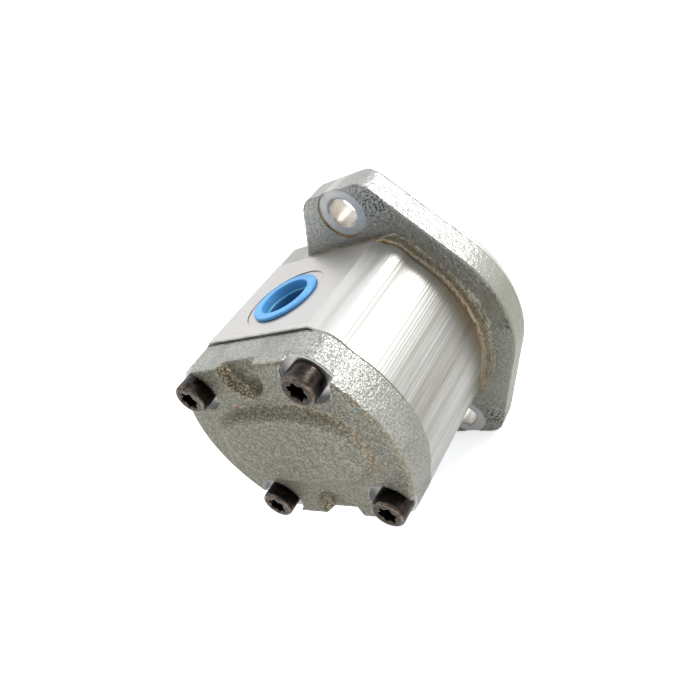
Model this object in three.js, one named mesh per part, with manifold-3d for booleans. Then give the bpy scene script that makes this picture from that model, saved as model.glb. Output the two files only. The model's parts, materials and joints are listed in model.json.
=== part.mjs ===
// Hydraulic gear pump with a two-bolt flange. Millimetres, +Z up.
// The drive shaft runs along +Y and the flange's mounting face is the plane Y = 0.
// The origin is the centre of the pilot, on the axis of the drive shaft.
import * as THREE from "three";
import { mergeVertices } from "three/addons/utils/BufferGeometryUtils.js";
import Module from "manifold-3d";

const wasm = await Module();
wasm.setup();

// ---------------------------------------------------------------- driving dimensions

// Stations along the shaft, measured back from the mounting face.
const FLANGE_THICKNESS = 11.5;
const NECK_LENGTH = 2;
const BODY_LENGTH = 50.4;
const COVER_THICKNESS = 15.5;
const JOINT_GAP = 0.1;

// The two gears.
const CENTRE_DISTANCE = 35;
const TEETH = 12;
const PRESSURE_ANGLE = THREE.MathUtils.degToRad(28);
const TIP_RADIUS = 20.1;
const ROOT_RADIUS = 14.5;
const TOOTH_THINNING = 0.25;
const FLANK_STEPS = 5;
const GEAR_WIDTH = 24;
const JOURNAL_RADIUS = 9;
const BORE_RADIUS = 20.4;

// Running and assembly clearances.
const SIDE_CLEARANCE = 0.3;
const FIT_CLEARANCE = 0.3;

// Outline of the body, about the point half way between the gears.
const BODY_RADIUS = 48;
const PORT_FACE_HEIGHT = 40.5;
const PORT_FACE_HALF_WIDTH = 26.6;
const LOBE_RADIUS = 8;
const NECK_RADIUS = 49;
const NECK_FLAT_HEIGHT = 39.9;
const COVER_RADIUS = 48.3;
const COVER_FLAT_HEIGHT = 39.2;
const SCREW_X = 29.4;
const SCREW_Z = 29.8;

// Mounting flange, a standard two-bolt pattern with a round pilot.
const BOLT_SPACING = 106.4;
const BOLT_HOLE_RADIUS = 5.8;
const BOLT_SEAT_RADIUS = 10;
const BOLT_SEAT_DEPTH = 0.6;
const FLANGE_RADIUS = 44.8;
const EAR_REACH = 62.9;
const EAR_SLOPE = THREE.MathUtils.degToRad(31);
const EAR_CORNER = 4;
const PILOT_RADIUS = 41.275;
const PILOT_HEIGHT = 6.35;

// Rear cover: raised pad, screw seats and the two edge pockets.
const PAD_HALF_X = 35.5;
const PAD_HALF_Z = 20;
const PAD_POWER = 2.6;
const PAD_RISE = 3;
const SEAT_RADIUS = 9.5;
const SEAT_HEIGHT = 12.4;
const POCKET_HALF_WIDTH = 9;
const POCKET_START = 26;
const POCKET_FLOOR = 11.3;

// Cap screws, M8.
const SCREW_RADIUS = 4;
const SCREW_LENGTH = 70;
const HEAD_RADIUS = 6.65;
const HEAD_HEIGHT = 8;
const SCREW_HOLE_RADIUS = 4.5;
const THREAD_HOLE_RADIUS = 4.3;
const THREAD_HOLE_END = -4;
const RECESS_RADIUS = 3.4;
const RECESS_WAVE = 0.55;
const RECESS_DEPTH = 4;

// Ports, one on each side, with the plugs that keep them clean.
const PORT_Y = -42.4;
const PORTS = [
  { name: "outlet_port_plug", side: 1, thread: 10.9, passage: 8, spotface: 16.8, rim: 13.6 },
  { name: "inlet_port_plug", side: -1, thread: 13.2, passage: 10, spotface: 19.4, rim: 16.2 },
];
const PORT_DEPTH = 17;
const SPOTFACE_DEPTH = 0.4;
const PORT_CHAMFER = 1.6;
const PLUG_DEPTH = 12;
const PLUG_WALL = 1.2;
const PLUG_RIM_THICKNESS = 1.4;

// Drive shaft end: nine-tooth involute spline.
const SHAFT_END = 31.8;
const SPLINE_TEETH = 9;
const SPLINE_TIP_RADIUS = 7.75;
const SPLINE_ROOT_RADIUS = 6.3;
const SPLINE_START = 9;
const SHAFT_NECK_RADIUS = 7.9;

// Seals, sleeves and rings.
const SEAL_RADIUS = 15;
const SEAL_LENGTH = 7;
const SEAL_BACK = -3.2;
const COVER_BORE_RADIUS = 11;
const RING_BACK = 4.4;
const RING_THICKNESS = 1.2;
const BUSH_RADIUS = 10.6;
const BLOCK_RADIUS = 20;
const BALANCE_RADIUS = 15;
const BALANCE_HALF_WIDTH = 1.1;
const BALANCE_DEPTH = 2.7;
const SEAL_TRACK_RADIUS = 23.7;
const SEAL_TRACK_HALF_WIDTH = 1.1;
const SEAL_TRACK_DEPTH = 2.2;
const SLEEVE_RADIUS = 6;
const SLEEVE_WALL = 1.4;
const SLEEVE_REACH = 5;

// How many flat facets stand for a full circle.
const ROUND_STEPS = 24;
const SCREW_STEPS = 20;
const SMALL_STEPS = 14;
const BORE_STEPS = 32;
const PORT_STEPS = 28;

// ---------------------------------------------------------------- derived positions

const BODY_FRONT = -(FLANGE_THICKNESS + NECK_LENGTH);
const BODY_REAR = BODY_FRONT - BODY_LENGTH;
const COVER_REAR = BODY_REAR - COVER_THICKNESS;
const BODY_X = -CENTRE_DISTANCE / 2;
const DRIVE_X = 0;
const DRIVEN_X = -CENTRE_DISTANCE;
const GEAR_MIDDLE = (BODY_FRONT + BODY_REAR) / 2;
const GEAR_FRONT = GEAR_MIDDLE + GEAR_WIDTH / 2;
const GEAR_REAR = GEAR_MIDDLE - GEAR_WIDTH / 2;
const BLOCK_LENGTH = (BODY_LENGTH - GEAR_WIDTH) / 2 - 2 * SIDE_CLEARANCE;
const SEAT_Y = BODY_REAR - SEAT_HEIGHT;
const PITCH_RADIUS = CENTRE_DISTANCE / 2;
const BASE_RADIUS = PITCH_RADIUS * Math.cos(PRESSURE_ANGLE);

const SCREWS = [
  { name: "upper_right", x: BODY_X + SCREW_X, z: SCREW_Z },
  { name: "upper_left", x: BODY_X - SCREW_X, z: SCREW_Z },
  { name: "lower_right", x: BODY_X + SCREW_X, z: -SCREW_Z },
  { name: "lower_left", x: BODY_X - SCREW_X, z: -SCREW_Z },
];
const SLEEVED_SCREWS = [SCREWS[0], SCREWS[3]];
const EARS = [1, -1];

// ---------------------------------------------------------------- solids from geometries

// Turns a closed geometry into a solid that can be joined and cut.
function solidFrom(geometry) {
  const bare = geometry.clone();
  bare.deleteAttribute("normal");
  bare.deleteAttribute("uv");
  const merged = mergeVertices(bare, 1e-4);
  const corners = [];
  for (let i = 0; i < merged.index.count; i += 3) {
    const [a, b, c] = [0, 1, 2].map((k) => merged.index.getX(i + k));
    if (a !== b && b !== c && c !== a) {
      corners.push(a, b, c);
    }
  }
  return new wasm.Manifold(new wasm.Mesh({
    numProp: 3,
    vertProperties: new Float32Array(merged.attributes.position.array),
    triVerts: new Uint32Array(corners),
  }));
}

function geometryFrom(solid) {
  const mesh = solid.getMesh();
  const geometry = new THREE.BufferGeometry();
  geometry.setAttribute("position", new THREE.BufferAttribute(mesh.vertProperties, 3));
  geometry.setIndex(new THREE.BufferAttribute(mesh.triVerts, 1));
  geometry.computeVertexNormals();
  return geometry;
}

function joined(solids) {
  return solids.reduce((whole, piece) => whole.add(piece));
}

function cutAway(solid, tools) {
  return tools.reduce((rest, tool) => rest.subtract(tool), solid);
}

// A plate whose outline lies in X and Z, from yLow to yHigh along the shaft.
function plate(shape, yLow, yHigh) {
  const geometry = new THREE.ExtrudeGeometry(shape, {
    depth: yHigh - yLow,
    curveSegments: ROUND_STEPS / 2,
    bevelEnabled: false,
  });
  geometry.rotateX(Math.PI / 2);
  geometry.translate(0, yHigh, 0);
  return solidFrom(geometry);
}

// A round bar along the shaft direction.
function bar(radius, yLow, yHigh, x = 0, z = 0, segments = ROUND_STEPS) {
  const geometry = new THREE.CylinderGeometry(radius, radius, yHigh - yLow, segments);
  geometry.translate(x, (yLow + yHigh) / 2, z);
  return solidFrom(geometry);
}

function block(xLow, xHigh, yLow, yHigh, zLow, zHigh) {
  const geometry = new THREE.BoxGeometry(xHigh - xLow, yHigh - yLow, zHigh - zLow);
  geometry.translate((xLow + xHigh) / 2, (yLow + yHigh) / 2, (zLow + zHigh) / 2);
  return solidFrom(geometry);
}

// A turned piece about the shaft direction, from [radius, y] corners.
function turned(corners, segments = ROUND_STEPS) {
  const points = corners.map(([radius, y]) => new THREE.Vector2(radius, y));
  return new THREE.LatheGeometry(points, segments);
}

// A ring about the shaft direction, with an open middle.
function ring(inner, outer, yLow, yHigh, x, z, segments = ROUND_STEPS) {
  const geometry = turned([
    [inner, yLow],
    [outer, yLow],
    [outer, yHigh],
    [inner, yHigh],
    [inner, yLow],
  ], segments);
  geometry.translate(x, 0, z);
  return solidFrom(geometry);
}

// ---------------------------------------------------------------- outlines

// Outline shared by the body and both covers: round sides, flat top and bottom for the ports,
// and a lobe round each screw. One quarter is worked out and mirrored into the other three.
function housingOutline(radius, flat, halfWidth) {
  const quarter = [];
  const sideAngle = Math.atan2(SCREW_Z - 1.5, SCREW_X + LOBE_RADIUS + 1.3);
  const sideSteps = 6;
  for (let i = 0; i <= sideSteps; i += 1) {
    const angle = (sideAngle * i) / sideSteps;
    quarter.push([radius * Math.cos(angle), radius * Math.sin(angle)]);
  }
  const lobeStart = THREE.MathUtils.degToRad(12);
  const lobeEnd = THREE.MathUtils.degToRad(60);
  const lobeSteps = 4;
  for (let i = 0; i <= lobeSteps; i += 1) {
    const angle = THREE.MathUtils.lerp(lobeStart, lobeEnd, i / lobeSteps);
    quarter.push([
      SCREW_X + LOBE_RADIUS * Math.cos(angle),
      SCREW_Z + LOBE_RADIUS * Math.sin(angle),
    ]);
  }
  quarter.push([halfWidth, flat]);
  const half = [...quarter, ...quarter.map(([x, z]) => [-x, z]).reverse()];
  const lower = half.slice(1, -1).map(([x, z]) => [x, -z]).reverse();
  return new THREE.Shape([...half, ...lower].map(([x, z]) => new THREE.Vector2(BODY_X + x, z)));
}

// Adds a line towards a corner and rounds the corner off.
function roundedCorner(shape, corner, next, size) {
  const here = shape.currentPoint.clone();
  const before = corner.clone().add(here.sub(corner).setLength(size));
  const after = corner.clone().add(next.clone().sub(corner).setLength(size));
  shape.lineTo(before.x, before.y);
  shape.quadraticCurveTo(corner.x, corner.y, after.x, after.y);
}

// Two-ear flange about the drive shaft: a round middle with straight sides out to flat-ended ears.
function flangeOutline() {
  const half = (FLANGE_RADIUS - EAR_REACH * Math.sin(EAR_SLOPE)) / Math.cos(EAR_SLOPE);
  const shape = new THREE.Shape();
  for (const side of [1, -1]) {
    const low = new THREE.Vector2(side * half, side * -EAR_REACH);
    const high = new THREE.Vector2(side * half, side * EAR_REACH);
    const across = new THREE.Vector2(side * -half, side * EAR_REACH);
    const start = side > 0 ? -EAR_SLOPE : Math.PI - EAR_SLOPE;
    const tangent = new THREE.Vector2(Math.cos(start), Math.sin(start)).multiplyScalar(FLANGE_RADIUS);
    if (side > 0) {
      shape.moveTo(0, -EAR_REACH);
    }
    roundedCorner(shape, low, tangent, EAR_CORNER);
    shape.absarc(0, 0, FLANGE_RADIUS, start, start + 2 * EAR_SLOPE, false);
    roundedCorner(shape, high, across, EAR_CORNER);
  }
  return shape;
}

// Race-track round both gear bores.
function raceTrack(radius) {
  const track = new THREE.Shape();
  track.absarc(DRIVE_X, 0, radius, -Math.PI / 2, Math.PI / 2, false);
  track.absarc(DRIVEN_X, 0, radius, Math.PI / 2, 1.5 * Math.PI, false);
  return track;
}

function trackBand(halfWidth) {
  const band = raceTrack(SEAL_TRACK_RADIUS + halfWidth);
  band.holes.push(raceTrack(SEAL_TRACK_RADIUS - halfWidth));
  return band;
}

// Raised pad of the rear cover, a superellipse.
function padOutline(inset) {
  const points = [];
  const steps = 40;
  for (let i = 0; i < steps; i += 1) {
    const angle = (2 * Math.PI * i) / steps;
    const across = Math.abs(Math.cos(angle)) ** (2 / PAD_POWER) * Math.sign(Math.cos(angle));
    const up = Math.abs(Math.sin(angle)) ** (2 / PAD_POWER) * Math.sign(Math.sin(angle));
    const x = BODY_X + (PAD_HALF_X - inset) * across;
    points.push(new THREE.Vector2(x, (PAD_HALF_Z - inset) * up));
  }
  return new THREE.Shape(points);
}

// Involute spur gear with a tooth centred on the given angle.
function gearOutline(x, toothAngle) {
  const involute = (radius) => {
    const angle = Math.acos(Math.min(1, BASE_RADIUS / radius));
    return Math.tan(angle) - angle;
  };
  const pitchHalf = Math.PI / (2 * TEETH) - TOOTH_THINNING / (2 * PITCH_RADIUS);
  const flank = [[ROOT_RADIUS, pitchHalf + involute(PITCH_RADIUS)]];
  for (let i = 0; i <= FLANK_STEPS; i += 1) {
    const radius = THREE.MathUtils.lerp(BASE_RADIUS, TIP_RADIUS, i / FLANK_STEPS);
    flank.push([radius, pitchHalf + involute(PITCH_RADIUS) - involute(radius)]);
  }
  const points = [];
  for (let tooth = 0; tooth < TEETH; tooth += 1) {
    const centre = toothAngle + (2 * Math.PI * tooth) / TEETH;
    const rising = flank.map(([radius, half]) => [radius, centre - half]);
    const falling = flank.map(([radius, half]) => [radius, centre + half]).reverse();
    for (const [radius, angle] of [...rising, ...falling]) {
      points.push(new THREE.Vector2(x + radius * Math.cos(angle), radius * Math.sin(angle)));
    }
  }
  return new THREE.Shape(points);
}

// Straight-sided spline teeth of the shaft end.
function splineOutline() {
  const points = [];
  const pitch = (2 * Math.PI) / SPLINE_TEETH;
  const tooth = [[-0.3, SPLINE_ROOT_RADIUS], [-0.17, SPLINE_TIP_RADIUS]];
  const corners = [...tooth, ...tooth.map(([part, radius]) => [-part, radius]).reverse()];
  for (let i = 0; i < SPLINE_TEETH; i += 1) {
    for (const [part, radius] of corners) {
      const angle = pitch * (i + part);
      points.push(new THREE.Vector2(radius * Math.cos(angle), radius * Math.sin(angle)));
    }
  }
  return new THREE.Shape(points);
}

// Six-lobe drive recess of a cap screw.
function recessOutline(x, z) {
  const points = [];
  const steps = 24;
  for (let i = 0; i < steps; i += 1) {
    const angle = (2 * Math.PI * i) / steps;
    const radius = RECESS_RADIUS + RECESS_WAVE * Math.cos(6 * angle);
    points.push(new THREE.Vector2(x + radius * Math.cos(angle), z + radius * Math.sin(angle)));
  }
  return new THREE.Shape(points);
}

// ---------------------------------------------------------------- housing

function sleevePockets(y) {
  const reach = SLEEVE_REACH + FIT_CLEARANCE;
  const radius = SLEEVE_RADIUS + FIT_CLEARANCE;
  return SLEEVED_SCREWS.map(({ x, z }) => bar(radius, y - reach, y + reach, x, z, SMALL_STEPS));
}

function frontCover() {
  const neckTop = BODY_FRONT + JOINT_GAP;
  const body = housingOutline(NECK_RADIUS, NECK_FLAT_HEIGHT, PORT_FACE_HALF_WIDTH);
  const solid = joined([
    plate(flangeOutline(), -FLANGE_THICKNESS, 0),
    plate(body, neckTop, 0),
    bar(PILOT_RADIUS, -1, PILOT_HEIGHT, 0, 0, 48),
  ]);
  const holes = EARS.flatMap((side) => {
    const z = (side * BOLT_SPACING) / 2;
    const seat = -FLANGE_THICKNESS + BOLT_SEAT_DEPTH;
    return [
      bar(BOLT_HOLE_RADIUS, -FLANGE_THICKNESS - 1, 1, 0, z),
      bar(BOLT_SEAT_RADIUS, -FLANGE_THICKNESS - 1, seat, 0, z),
    ];
  });
  const threads = SCREWS.map(({ x, z }) => {
    return bar(THREAD_HOLE_RADIUS, BODY_FRONT - 1, THREAD_HOLE_END, x, z, SMALL_STEPS);
  });
  const sealSeat = SEAL_BACK - FIT_CLEARANCE;
  const groove = [RING_BACK - 0.1, RING_BACK + RING_THICKNESS + 0.1];
  return cutAway(solid, [
    ...holes,
    ...threads,
    ...sleevePockets(BODY_FRONT),
    bar(COVER_BORE_RADIUS, BODY_FRONT - 1, PILOT_HEIGHT + 1),
    bar(SEAL_RADIUS + FIT_CLEARANCE, sealSeat, PILOT_HEIGHT + 1),
    bar(SEAL_RADIUS + 1.6, groove[0], groove[1]),
  ]);
}

function pumpBody() {
  const outline = housingOutline(BODY_RADIUS, PORT_FACE_HEIGHT, PORT_FACE_HALF_WIDTH);
  const past = 1;
  const low = BODY_REAR - past;
  const high = BODY_FRONT + past;
  const holes = SCREWS.map(({ x, z }) => bar(SCREW_HOLE_RADIUS, low, high, x, z, SMALL_STEPS));
  const bores = [DRIVE_X, DRIVEN_X].map((x) => bar(BORE_RADIUS, low, high, x, 0, BORE_STEPS));
  const grooveHalf = SEAL_TRACK_HALF_WIDTH + FIT_CLEARANCE;
  const grooves = [
    plate(trackBand(grooveHalf), low, BODY_REAR + SEAL_TRACK_DEPTH),
    plate(trackBand(grooveHalf), BODY_FRONT - SEAL_TRACK_DEPTH, high),
  ];
  return cutAway(plate(outline, BODY_REAR, BODY_FRONT), [
    ...holes,
    ...bores,
    ...grooves,
    ...sleevePockets(BODY_REAR),
    ...sleevePockets(BODY_FRONT),
    ...PORTS.map(portCutter),
  ]);
}

// Threaded port with its spotface and chamfer, and the passage on to the gears.
function portCutter(port) {
  const top = PORT_FACE_HEIGHT;
  const floor = top - PORT_DEPTH;
  const face = top - SPOTFACE_DEPTH;
  const geometry = turned([
    [0, 0],
    [port.passage, 0],
    [port.passage, floor],
    [port.thread, floor],
    [port.thread, face - PORT_CHAMFER],
    [port.thread + PORT_CHAMFER, face],
    [port.spotface, face],
    [port.spotface, top + 1],
    [0, top + 1],
  ], PORT_STEPS);
  geometry.rotateX((port.side * Math.PI) / 2);
  geometry.translate(BODY_X, PORT_Y, 0);
  return solidFrom(geometry);
}

function rearCover() {
  const front = BODY_REAR - JOINT_GAP;
  const outline = housingOutline(COVER_RADIUS, COVER_FLAT_HEIGHT, PORT_FACE_HALF_WIDTH);
  const pad = joined([
    plate(padOutline(0), COVER_REAR - PAD_RISE / 3, COVER_REAR + 1),
    plate(padOutline(1.2), COVER_REAR - PAD_RISE, COVER_REAR),
  ]);
  const solid = plate(outline, COVER_REAR, front).add(pad);
  const back = COVER_REAR - PAD_RISE - 1;
  const seats = SCREWS.map(({ x, z }) => bar(SEAT_RADIUS, back, SEAT_Y, x, z));
  const holes = SCREWS.map(({ x, z }) => bar(SCREW_HOLE_RADIUS, back, front + 1, x, z, SMALL_STEPS));
  const pockets = [1, -1].map((side) => edgePocket(side, back));
  return cutAway(solid, [...seats, ...holes, ...pockets, ...sleevePockets(BODY_REAR)]);
}

// Round-ended pocket in the middle of the cover's top or bottom edge.
function edgePocket(side, back) {
  const floor = BODY_REAR - POCKET_FLOOR;
  const end = side * (POCKET_START + POCKET_HALF_WIDTH);
  const past = side * (PORT_FACE_HEIGHT + 1);
  const left = BODY_X - POCKET_HALF_WIDTH;
  const right = BODY_X + POCKET_HALF_WIDTH;
  const channel = block(left, right, back, floor, Math.min(end, past), Math.max(end, past));
  return channel.add(bar(POCKET_HALF_WIDTH, back, floor, BODY_X, end));
}

// ---------------------------------------------------------------- gears and bearings

function driveGearShaft() {
  const gear = plate(gearOutline(DRIVE_X, 0), GEAR_REAR, GEAR_FRONT);
  const rearEnd = BODY_REAR + 2 * SIDE_CLEARANCE;
  const shaft = solidFrom(turned([
    [0, rearEnd],
    [JOURNAL_RADIUS - 0.6, rearEnd],
    [JOURNAL_RADIUS, rearEnd + 0.6],
    [JOURNAL_RADIUS, SEAL_BACK + SEAL_LENGTH],
    [SHAFT_NECK_RADIUS, SEAL_BACK + SEAL_LENGTH + 1],
    [SHAFT_NECK_RADIUS, SPLINE_START],
    [SPLINE_ROOT_RADIUS, SPLINE_START + 1],
    [SPLINE_ROOT_RADIUS, SHAFT_END - 0.6],
    [SPLINE_ROOT_RADIUS - 0.6, SHAFT_END],
    [0, SHAFT_END],
  ]));
  const spline = plate(splineOutline(), SPLINE_START, SHAFT_END - 1);
  return joined([gear, shaft, spline]);
}

function drivenGearShaft() {
  const halfPitch = Math.PI / TEETH;
  const gear = plate(gearOutline(DRIVEN_X, halfPitch), GEAR_REAR, GEAR_FRONT);
  const rearEnd = BODY_REAR + 2 * SIDE_CLEARANCE;
  const frontEnd = BODY_FRONT - 2 * SIDE_CLEARANCE;
  const geometry = turned([
    [0, rearEnd],
    [JOURNAL_RADIUS - 0.6, rearEnd],
    [JOURNAL_RADIUS, rearEnd + 0.6],
    [JOURNAL_RADIUS, frontEnd - 0.6],
    [JOURNAL_RADIUS - 0.6, frontEnd],
    [0, frontEnd],
  ]);
  geometry.translate(DRIVEN_X, 0, 0);
  return gear.add(solidFrom(geometry));
}

// Both ends of the pump carry the same set of parts; only the place and the direction change.
const ENDS = [
  { name: "rear", face: BODY_REAR + SIDE_CLEARANCE, inward: 1 },
  { name: "front", face: BODY_FRONT - SIDE_CLEARANCE, inward: -1 },
];

// A span that starts at one end's outer face and goes inward.
function spanFrom(end, start, length) {
  const a = end.face + end.inward * start;
  const b = end.face + end.inward * (start + length);
  return [Math.min(a, b), Math.max(a, b)];
}

// The three-shaped strip that balances a bushing block: half a ring below each journal, joined.
function balanceStrip(halfWidth, yLow, yHigh) {
  const inner = BALANCE_RADIUS - halfWidth;
  const outer = BALANCE_RADIUS + halfWidth;
  const rings = [DRIVE_X, DRIVEN_X].map((x) => ring(inner, outer, yLow, yHigh, x, 0));
  const top = halfWidth - BALANCE_HALF_WIDTH;
  const reach = CENTRE_DISTANCE / 2 + outer + 1;
  const lower = block(BODY_X - reach, BODY_X + reach, yLow - 1, yHigh + 1, -outer - 1, top);
  const bridgeHalf = CENTRE_DISTANCE / 2 - BALANCE_RADIUS + BALANCE_HALF_WIDTH / 2;
  const bridgeLow = -2 * BALANCE_HALF_WIDTH - top;
  const bridge = block(BODY_X - bridgeHalf, BODY_X + bridgeHalf, yLow, yHigh, bridgeLow, top);
  return joined(rings).intersect(lower).add(bridge);
}

function bushingBlock(end) {
  const [yLow, yHigh] = spanFrom(end, 0, BLOCK_LENGTH);
  const solid = joined([DRIVE_X, DRIVEN_X].map((x) => bar(BLOCK_RADIUS, yLow, yHigh, x, 0, BORE_STEPS)));
  const hole = BUSH_RADIUS + FIT_CLEARANCE;
  const holes = [DRIVE_X, DRIVEN_X].map((x) => bar(hole, yLow - 1, yHigh + 1, x, 0));
  const [grooveLow, grooveHigh] = spanFrom(end, -1, BALANCE_DEPTH + 1);
  const groove = balanceStrip(BALANCE_HALF_WIDTH + FIT_CLEARANCE, grooveLow, grooveHigh);
  return cutAway(solid, [...holes, groove]);
}

function bush(end, x) {
  const [yLow, yHigh] = spanFrom(end, FIT_CLEARANCE, BLOCK_LENGTH - 2 * FIT_CLEARANCE);
  return ring(JOURNAL_RADIUS + FIT_CLEARANCE, BUSH_RADIUS, yLow, yHigh, x, 0);
}

// ---------------------------------------------------------------- seals, rings and fasteners

function axialSeal(end) {
  const [yLow, yHigh] = spanFrom(end, 1.1, 1.4);
  return balanceStrip(BALANCE_HALF_WIDTH, yLow, yHigh);
}

function backupRing(end) {
  const [yLow, yHigh] = spanFrom(end, 0.1, 0.8);
  return balanceStrip(BALANCE_HALF_WIDTH, yLow, yHigh);
}

function bodySeal(end) {
  const [yLow, yHigh] = spanFrom(end, -SIDE_CLEARANCE + 0.1, 1.9);
  return plate(trackBand(SEAL_TRACK_HALF_WIDTH), yLow, yHigh);
}

// Lip seal: a stiff case with a flexible lip that points inward, open at the back.
function shaftSeal() {
  const lip = JOURNAL_RADIUS + FIT_CLEARANCE;
  const front = SEAL_BACK + SEAL_LENGTH;
  return solidFrom(turned([
    [lip + 1.6, front - 2],
    [lip, SEAL_BACK + 1.6],
    [lip + 1.2, SEAL_BACK + 0.3],
    [lip + 1.9, SEAL_BACK + 1],
    [lip + 1.7, SEAL_BACK + 2.4],
    [lip + 3, front - 2.6],
    [SEAL_RADIUS - 1.2, front - 2.6],
    [SEAL_RADIUS - 1.2, SEAL_BACK],
    [SEAL_RADIUS, SEAL_BACK],
    [SEAL_RADIUS, front],
    [lip + 1.6, front],
    [lip + 1.6, front - 2],
  ]));
}

function sealSpring() {
  const geometry = new THREE.TorusGeometry(JOURNAL_RADIUS + FIT_CLEARANCE + 3.1, 0.6, 6, ROUND_STEPS);
  geometry.rotateX(Math.PI / 2);
  geometry.translate(0, SEAL_BACK + 1.7, 0);
  return solidFrom(geometry);
}

// Spring ring with an open gap and two lugs for the pliers.
function retainingRing() {
  const inner = SEAL_RADIUS - 1.6;
  const outer = SEAL_RADIUS + 1.2;
  const gap = THREE.MathUtils.degToRad(24);
  const shape = new THREE.Shape();
  const down = 1.5 * Math.PI;
  const lugs = [down - gap, down - 2 * gap, down + 2 * gap, down + gap].map((angle) => {
    return new THREE.Vector2(Math.cos(angle), Math.sin(angle)).multiplyScalar(inner - 1.5);
  });
  shape.absarc(0, 0, outer, down + gap - 2 * Math.PI, down - gap, false);
  shape.lineTo(lugs[0].x, lugs[0].y);
  shape.lineTo(lugs[1].x, lugs[1].y);
  shape.absarc(0, 0, inner, down - 2 * gap, down + 2 * gap - 2 * Math.PI, true);
  shape.lineTo(lugs[2].x, lugs[2].y);
  shape.lineTo(lugs[3].x, lugs[3].y);
  return plate(shape, RING_BACK, RING_BACK + RING_THICKNESS);
}

function dowelSleeve(y, { x, z }) {
  const inner = SLEEVE_RADIUS - SLEEVE_WALL;
  return ring(inner, SLEEVE_RADIUS, y - SLEEVE_REACH, y + SLEEVE_REACH, x, z, SMALL_STEPS);
}

function capScrew({ x, z }) {
  const seat = SEAT_Y - JOINT_GAP;
  const top = seat - HEAD_HEIGHT;
  const tip = seat + SCREW_LENGTH;
  const geometry = turned([
    [0, top],
    [HEAD_RADIUS - 0.8, top],
    [HEAD_RADIUS, top + 0.8],
    [HEAD_RADIUS, seat - 0.3],
    [HEAD_RADIUS - 0.3, seat],
    [SCREW_RADIUS, seat],
    [SCREW_RADIUS, tip - 1],
    [SCREW_RADIUS - 1, tip],
    [0, tip],
  ], SCREW_STEPS);
  geometry.translate(x, 0, z);
  return solidFrom(geometry).subtract(plate(recessOutline(x, z), top - 1, top + RECESS_DEPTH));
}

// Plastic cup that closes a port, with a rim that rests on the spotface.
function portPlug(port) {
  const face = PORT_FACE_HEIGHT - SPOTFACE_DEPTH + 0.1;
  const outer = port.thread - 2 * FIT_CLEARANCE;
  const inner = outer - PLUG_WALL;
  const geometry = turned([
    [0, face - PLUG_DEPTH],
    [outer - 0.8, face - PLUG_DEPTH],
    [outer, face - PLUG_DEPTH + 0.8],
    [outer, face],
    [port.rim, face],
    [port.rim, face + PLUG_RIM_THICKNESS - 0.4],
    [port.rim - 0.4, face + PLUG_RIM_THICKNESS],
    [inner + 0.5, face + PLUG_RIM_THICKNESS],
    [inner, face + PLUG_RIM_THICKNESS - 0.5],
    [inner, face - PLUG_DEPTH + PLUG_WALL],
    [0, face - PLUG_DEPTH + PLUG_WALL],
  ], PORT_STEPS);
  geometry.rotateX((port.side * Math.PI) / 2);
  geometry.translate(BODY_X, PORT_Y, 0);
  return solidFrom(geometry);
}

// ---------------------------------------------------------------- assembly

const FINISHES = {
  casting: { color: 0xafb1a8, roughness: 0.5, metalness: 0.8 },
  extrusion: { color: 0xc9c6bf, roughness: 0.35, metalness: 0.9 },
  steel: { color: 0xb4b5b6, roughness: 0.25, metalness: 1 },
  bearingMetal: { color: 0xb9b4a6, roughness: 0.4, metalness: 0.9 },
  bronze: { color: 0xa9834d, roughness: 0.4, metalness: 0.9 },
  rubber: { color: 0x1c1c1d, roughness: 0.7, metalness: 0 },
  sealPlastic: { color: 0xe6e4dc, roughness: 0.5, metalness: 0 },
  blackSteel: { color: 0x2b2624, roughness: 0.4, metalness: 0.8 },
  bluePlastic: { color: 0x3d96e0, roughness: 0.35, metalness: 0 },
};

const pump = new THREE.Group();

function addPart(name, solid, finish) {
  const mesh = new THREE.Mesh(geometryFrom(solid), new THREE.MeshStandardMaterial(FINISHES[finish]));
  mesh.name = name;
  pump.add(mesh);
}

addPart("front_cover", frontCover(), "casting");
addPart("pump_body", pumpBody(), "extrusion");
addPart("rear_cover", rearCover(), "casting");
addPart("drive_gear_shaft", driveGearShaft(), "steel");
addPart("driven_gear_shaft", drivenGearShaft(), "steel");
for (const end of ENDS) {
  addPart(`${end.name}_bushing_block`, bushingBlock(end), "bearingMetal");
  addPart(`${end.name}_drive_bush`, bush(end, DRIVE_X), "bronze");
  addPart(`${end.name}_driven_bush`, bush(end, DRIVEN_X), "bronze");
  addPart(`${end.name}_axial_seal`, axialSeal(end), "rubber");
  addPart(`${end.name}_backup_ring`, backupRing(end), "sealPlastic");
  addPart(`${end.name}_body_seal`, bodySeal(end), "rubber");
}
addPart("shaft_seal", shaftSeal(), "rubber");
addPart("shaft_seal_spring", sealSpring(), "steel");
addPart("seal_retaining_ring", retainingRing(), "steel");
for (const screw of SCREWS) {
  addPart(`cap_screw_${screw.name}`, capScrew(screw), "blackSteel");
}
for (const screw of SLEEVED_SCREWS) {
  addPart(`rear_dowel_sleeve_${screw.name}`, dowelSleeve(BODY_REAR, screw), "steel");
  addPart(`front_dowel_sleeve_${screw.name}`, dowelSleeve(BODY_FRONT, screw), "steel");
}
for (const port of PORTS) {
  addPart(port.name, portPlug(port), "bluePlastic");
}

export default pump;
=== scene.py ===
import json
import math

import bmesh
import bpy
import numpy as np
from mathutils import Matrix, Vector, noise


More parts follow.
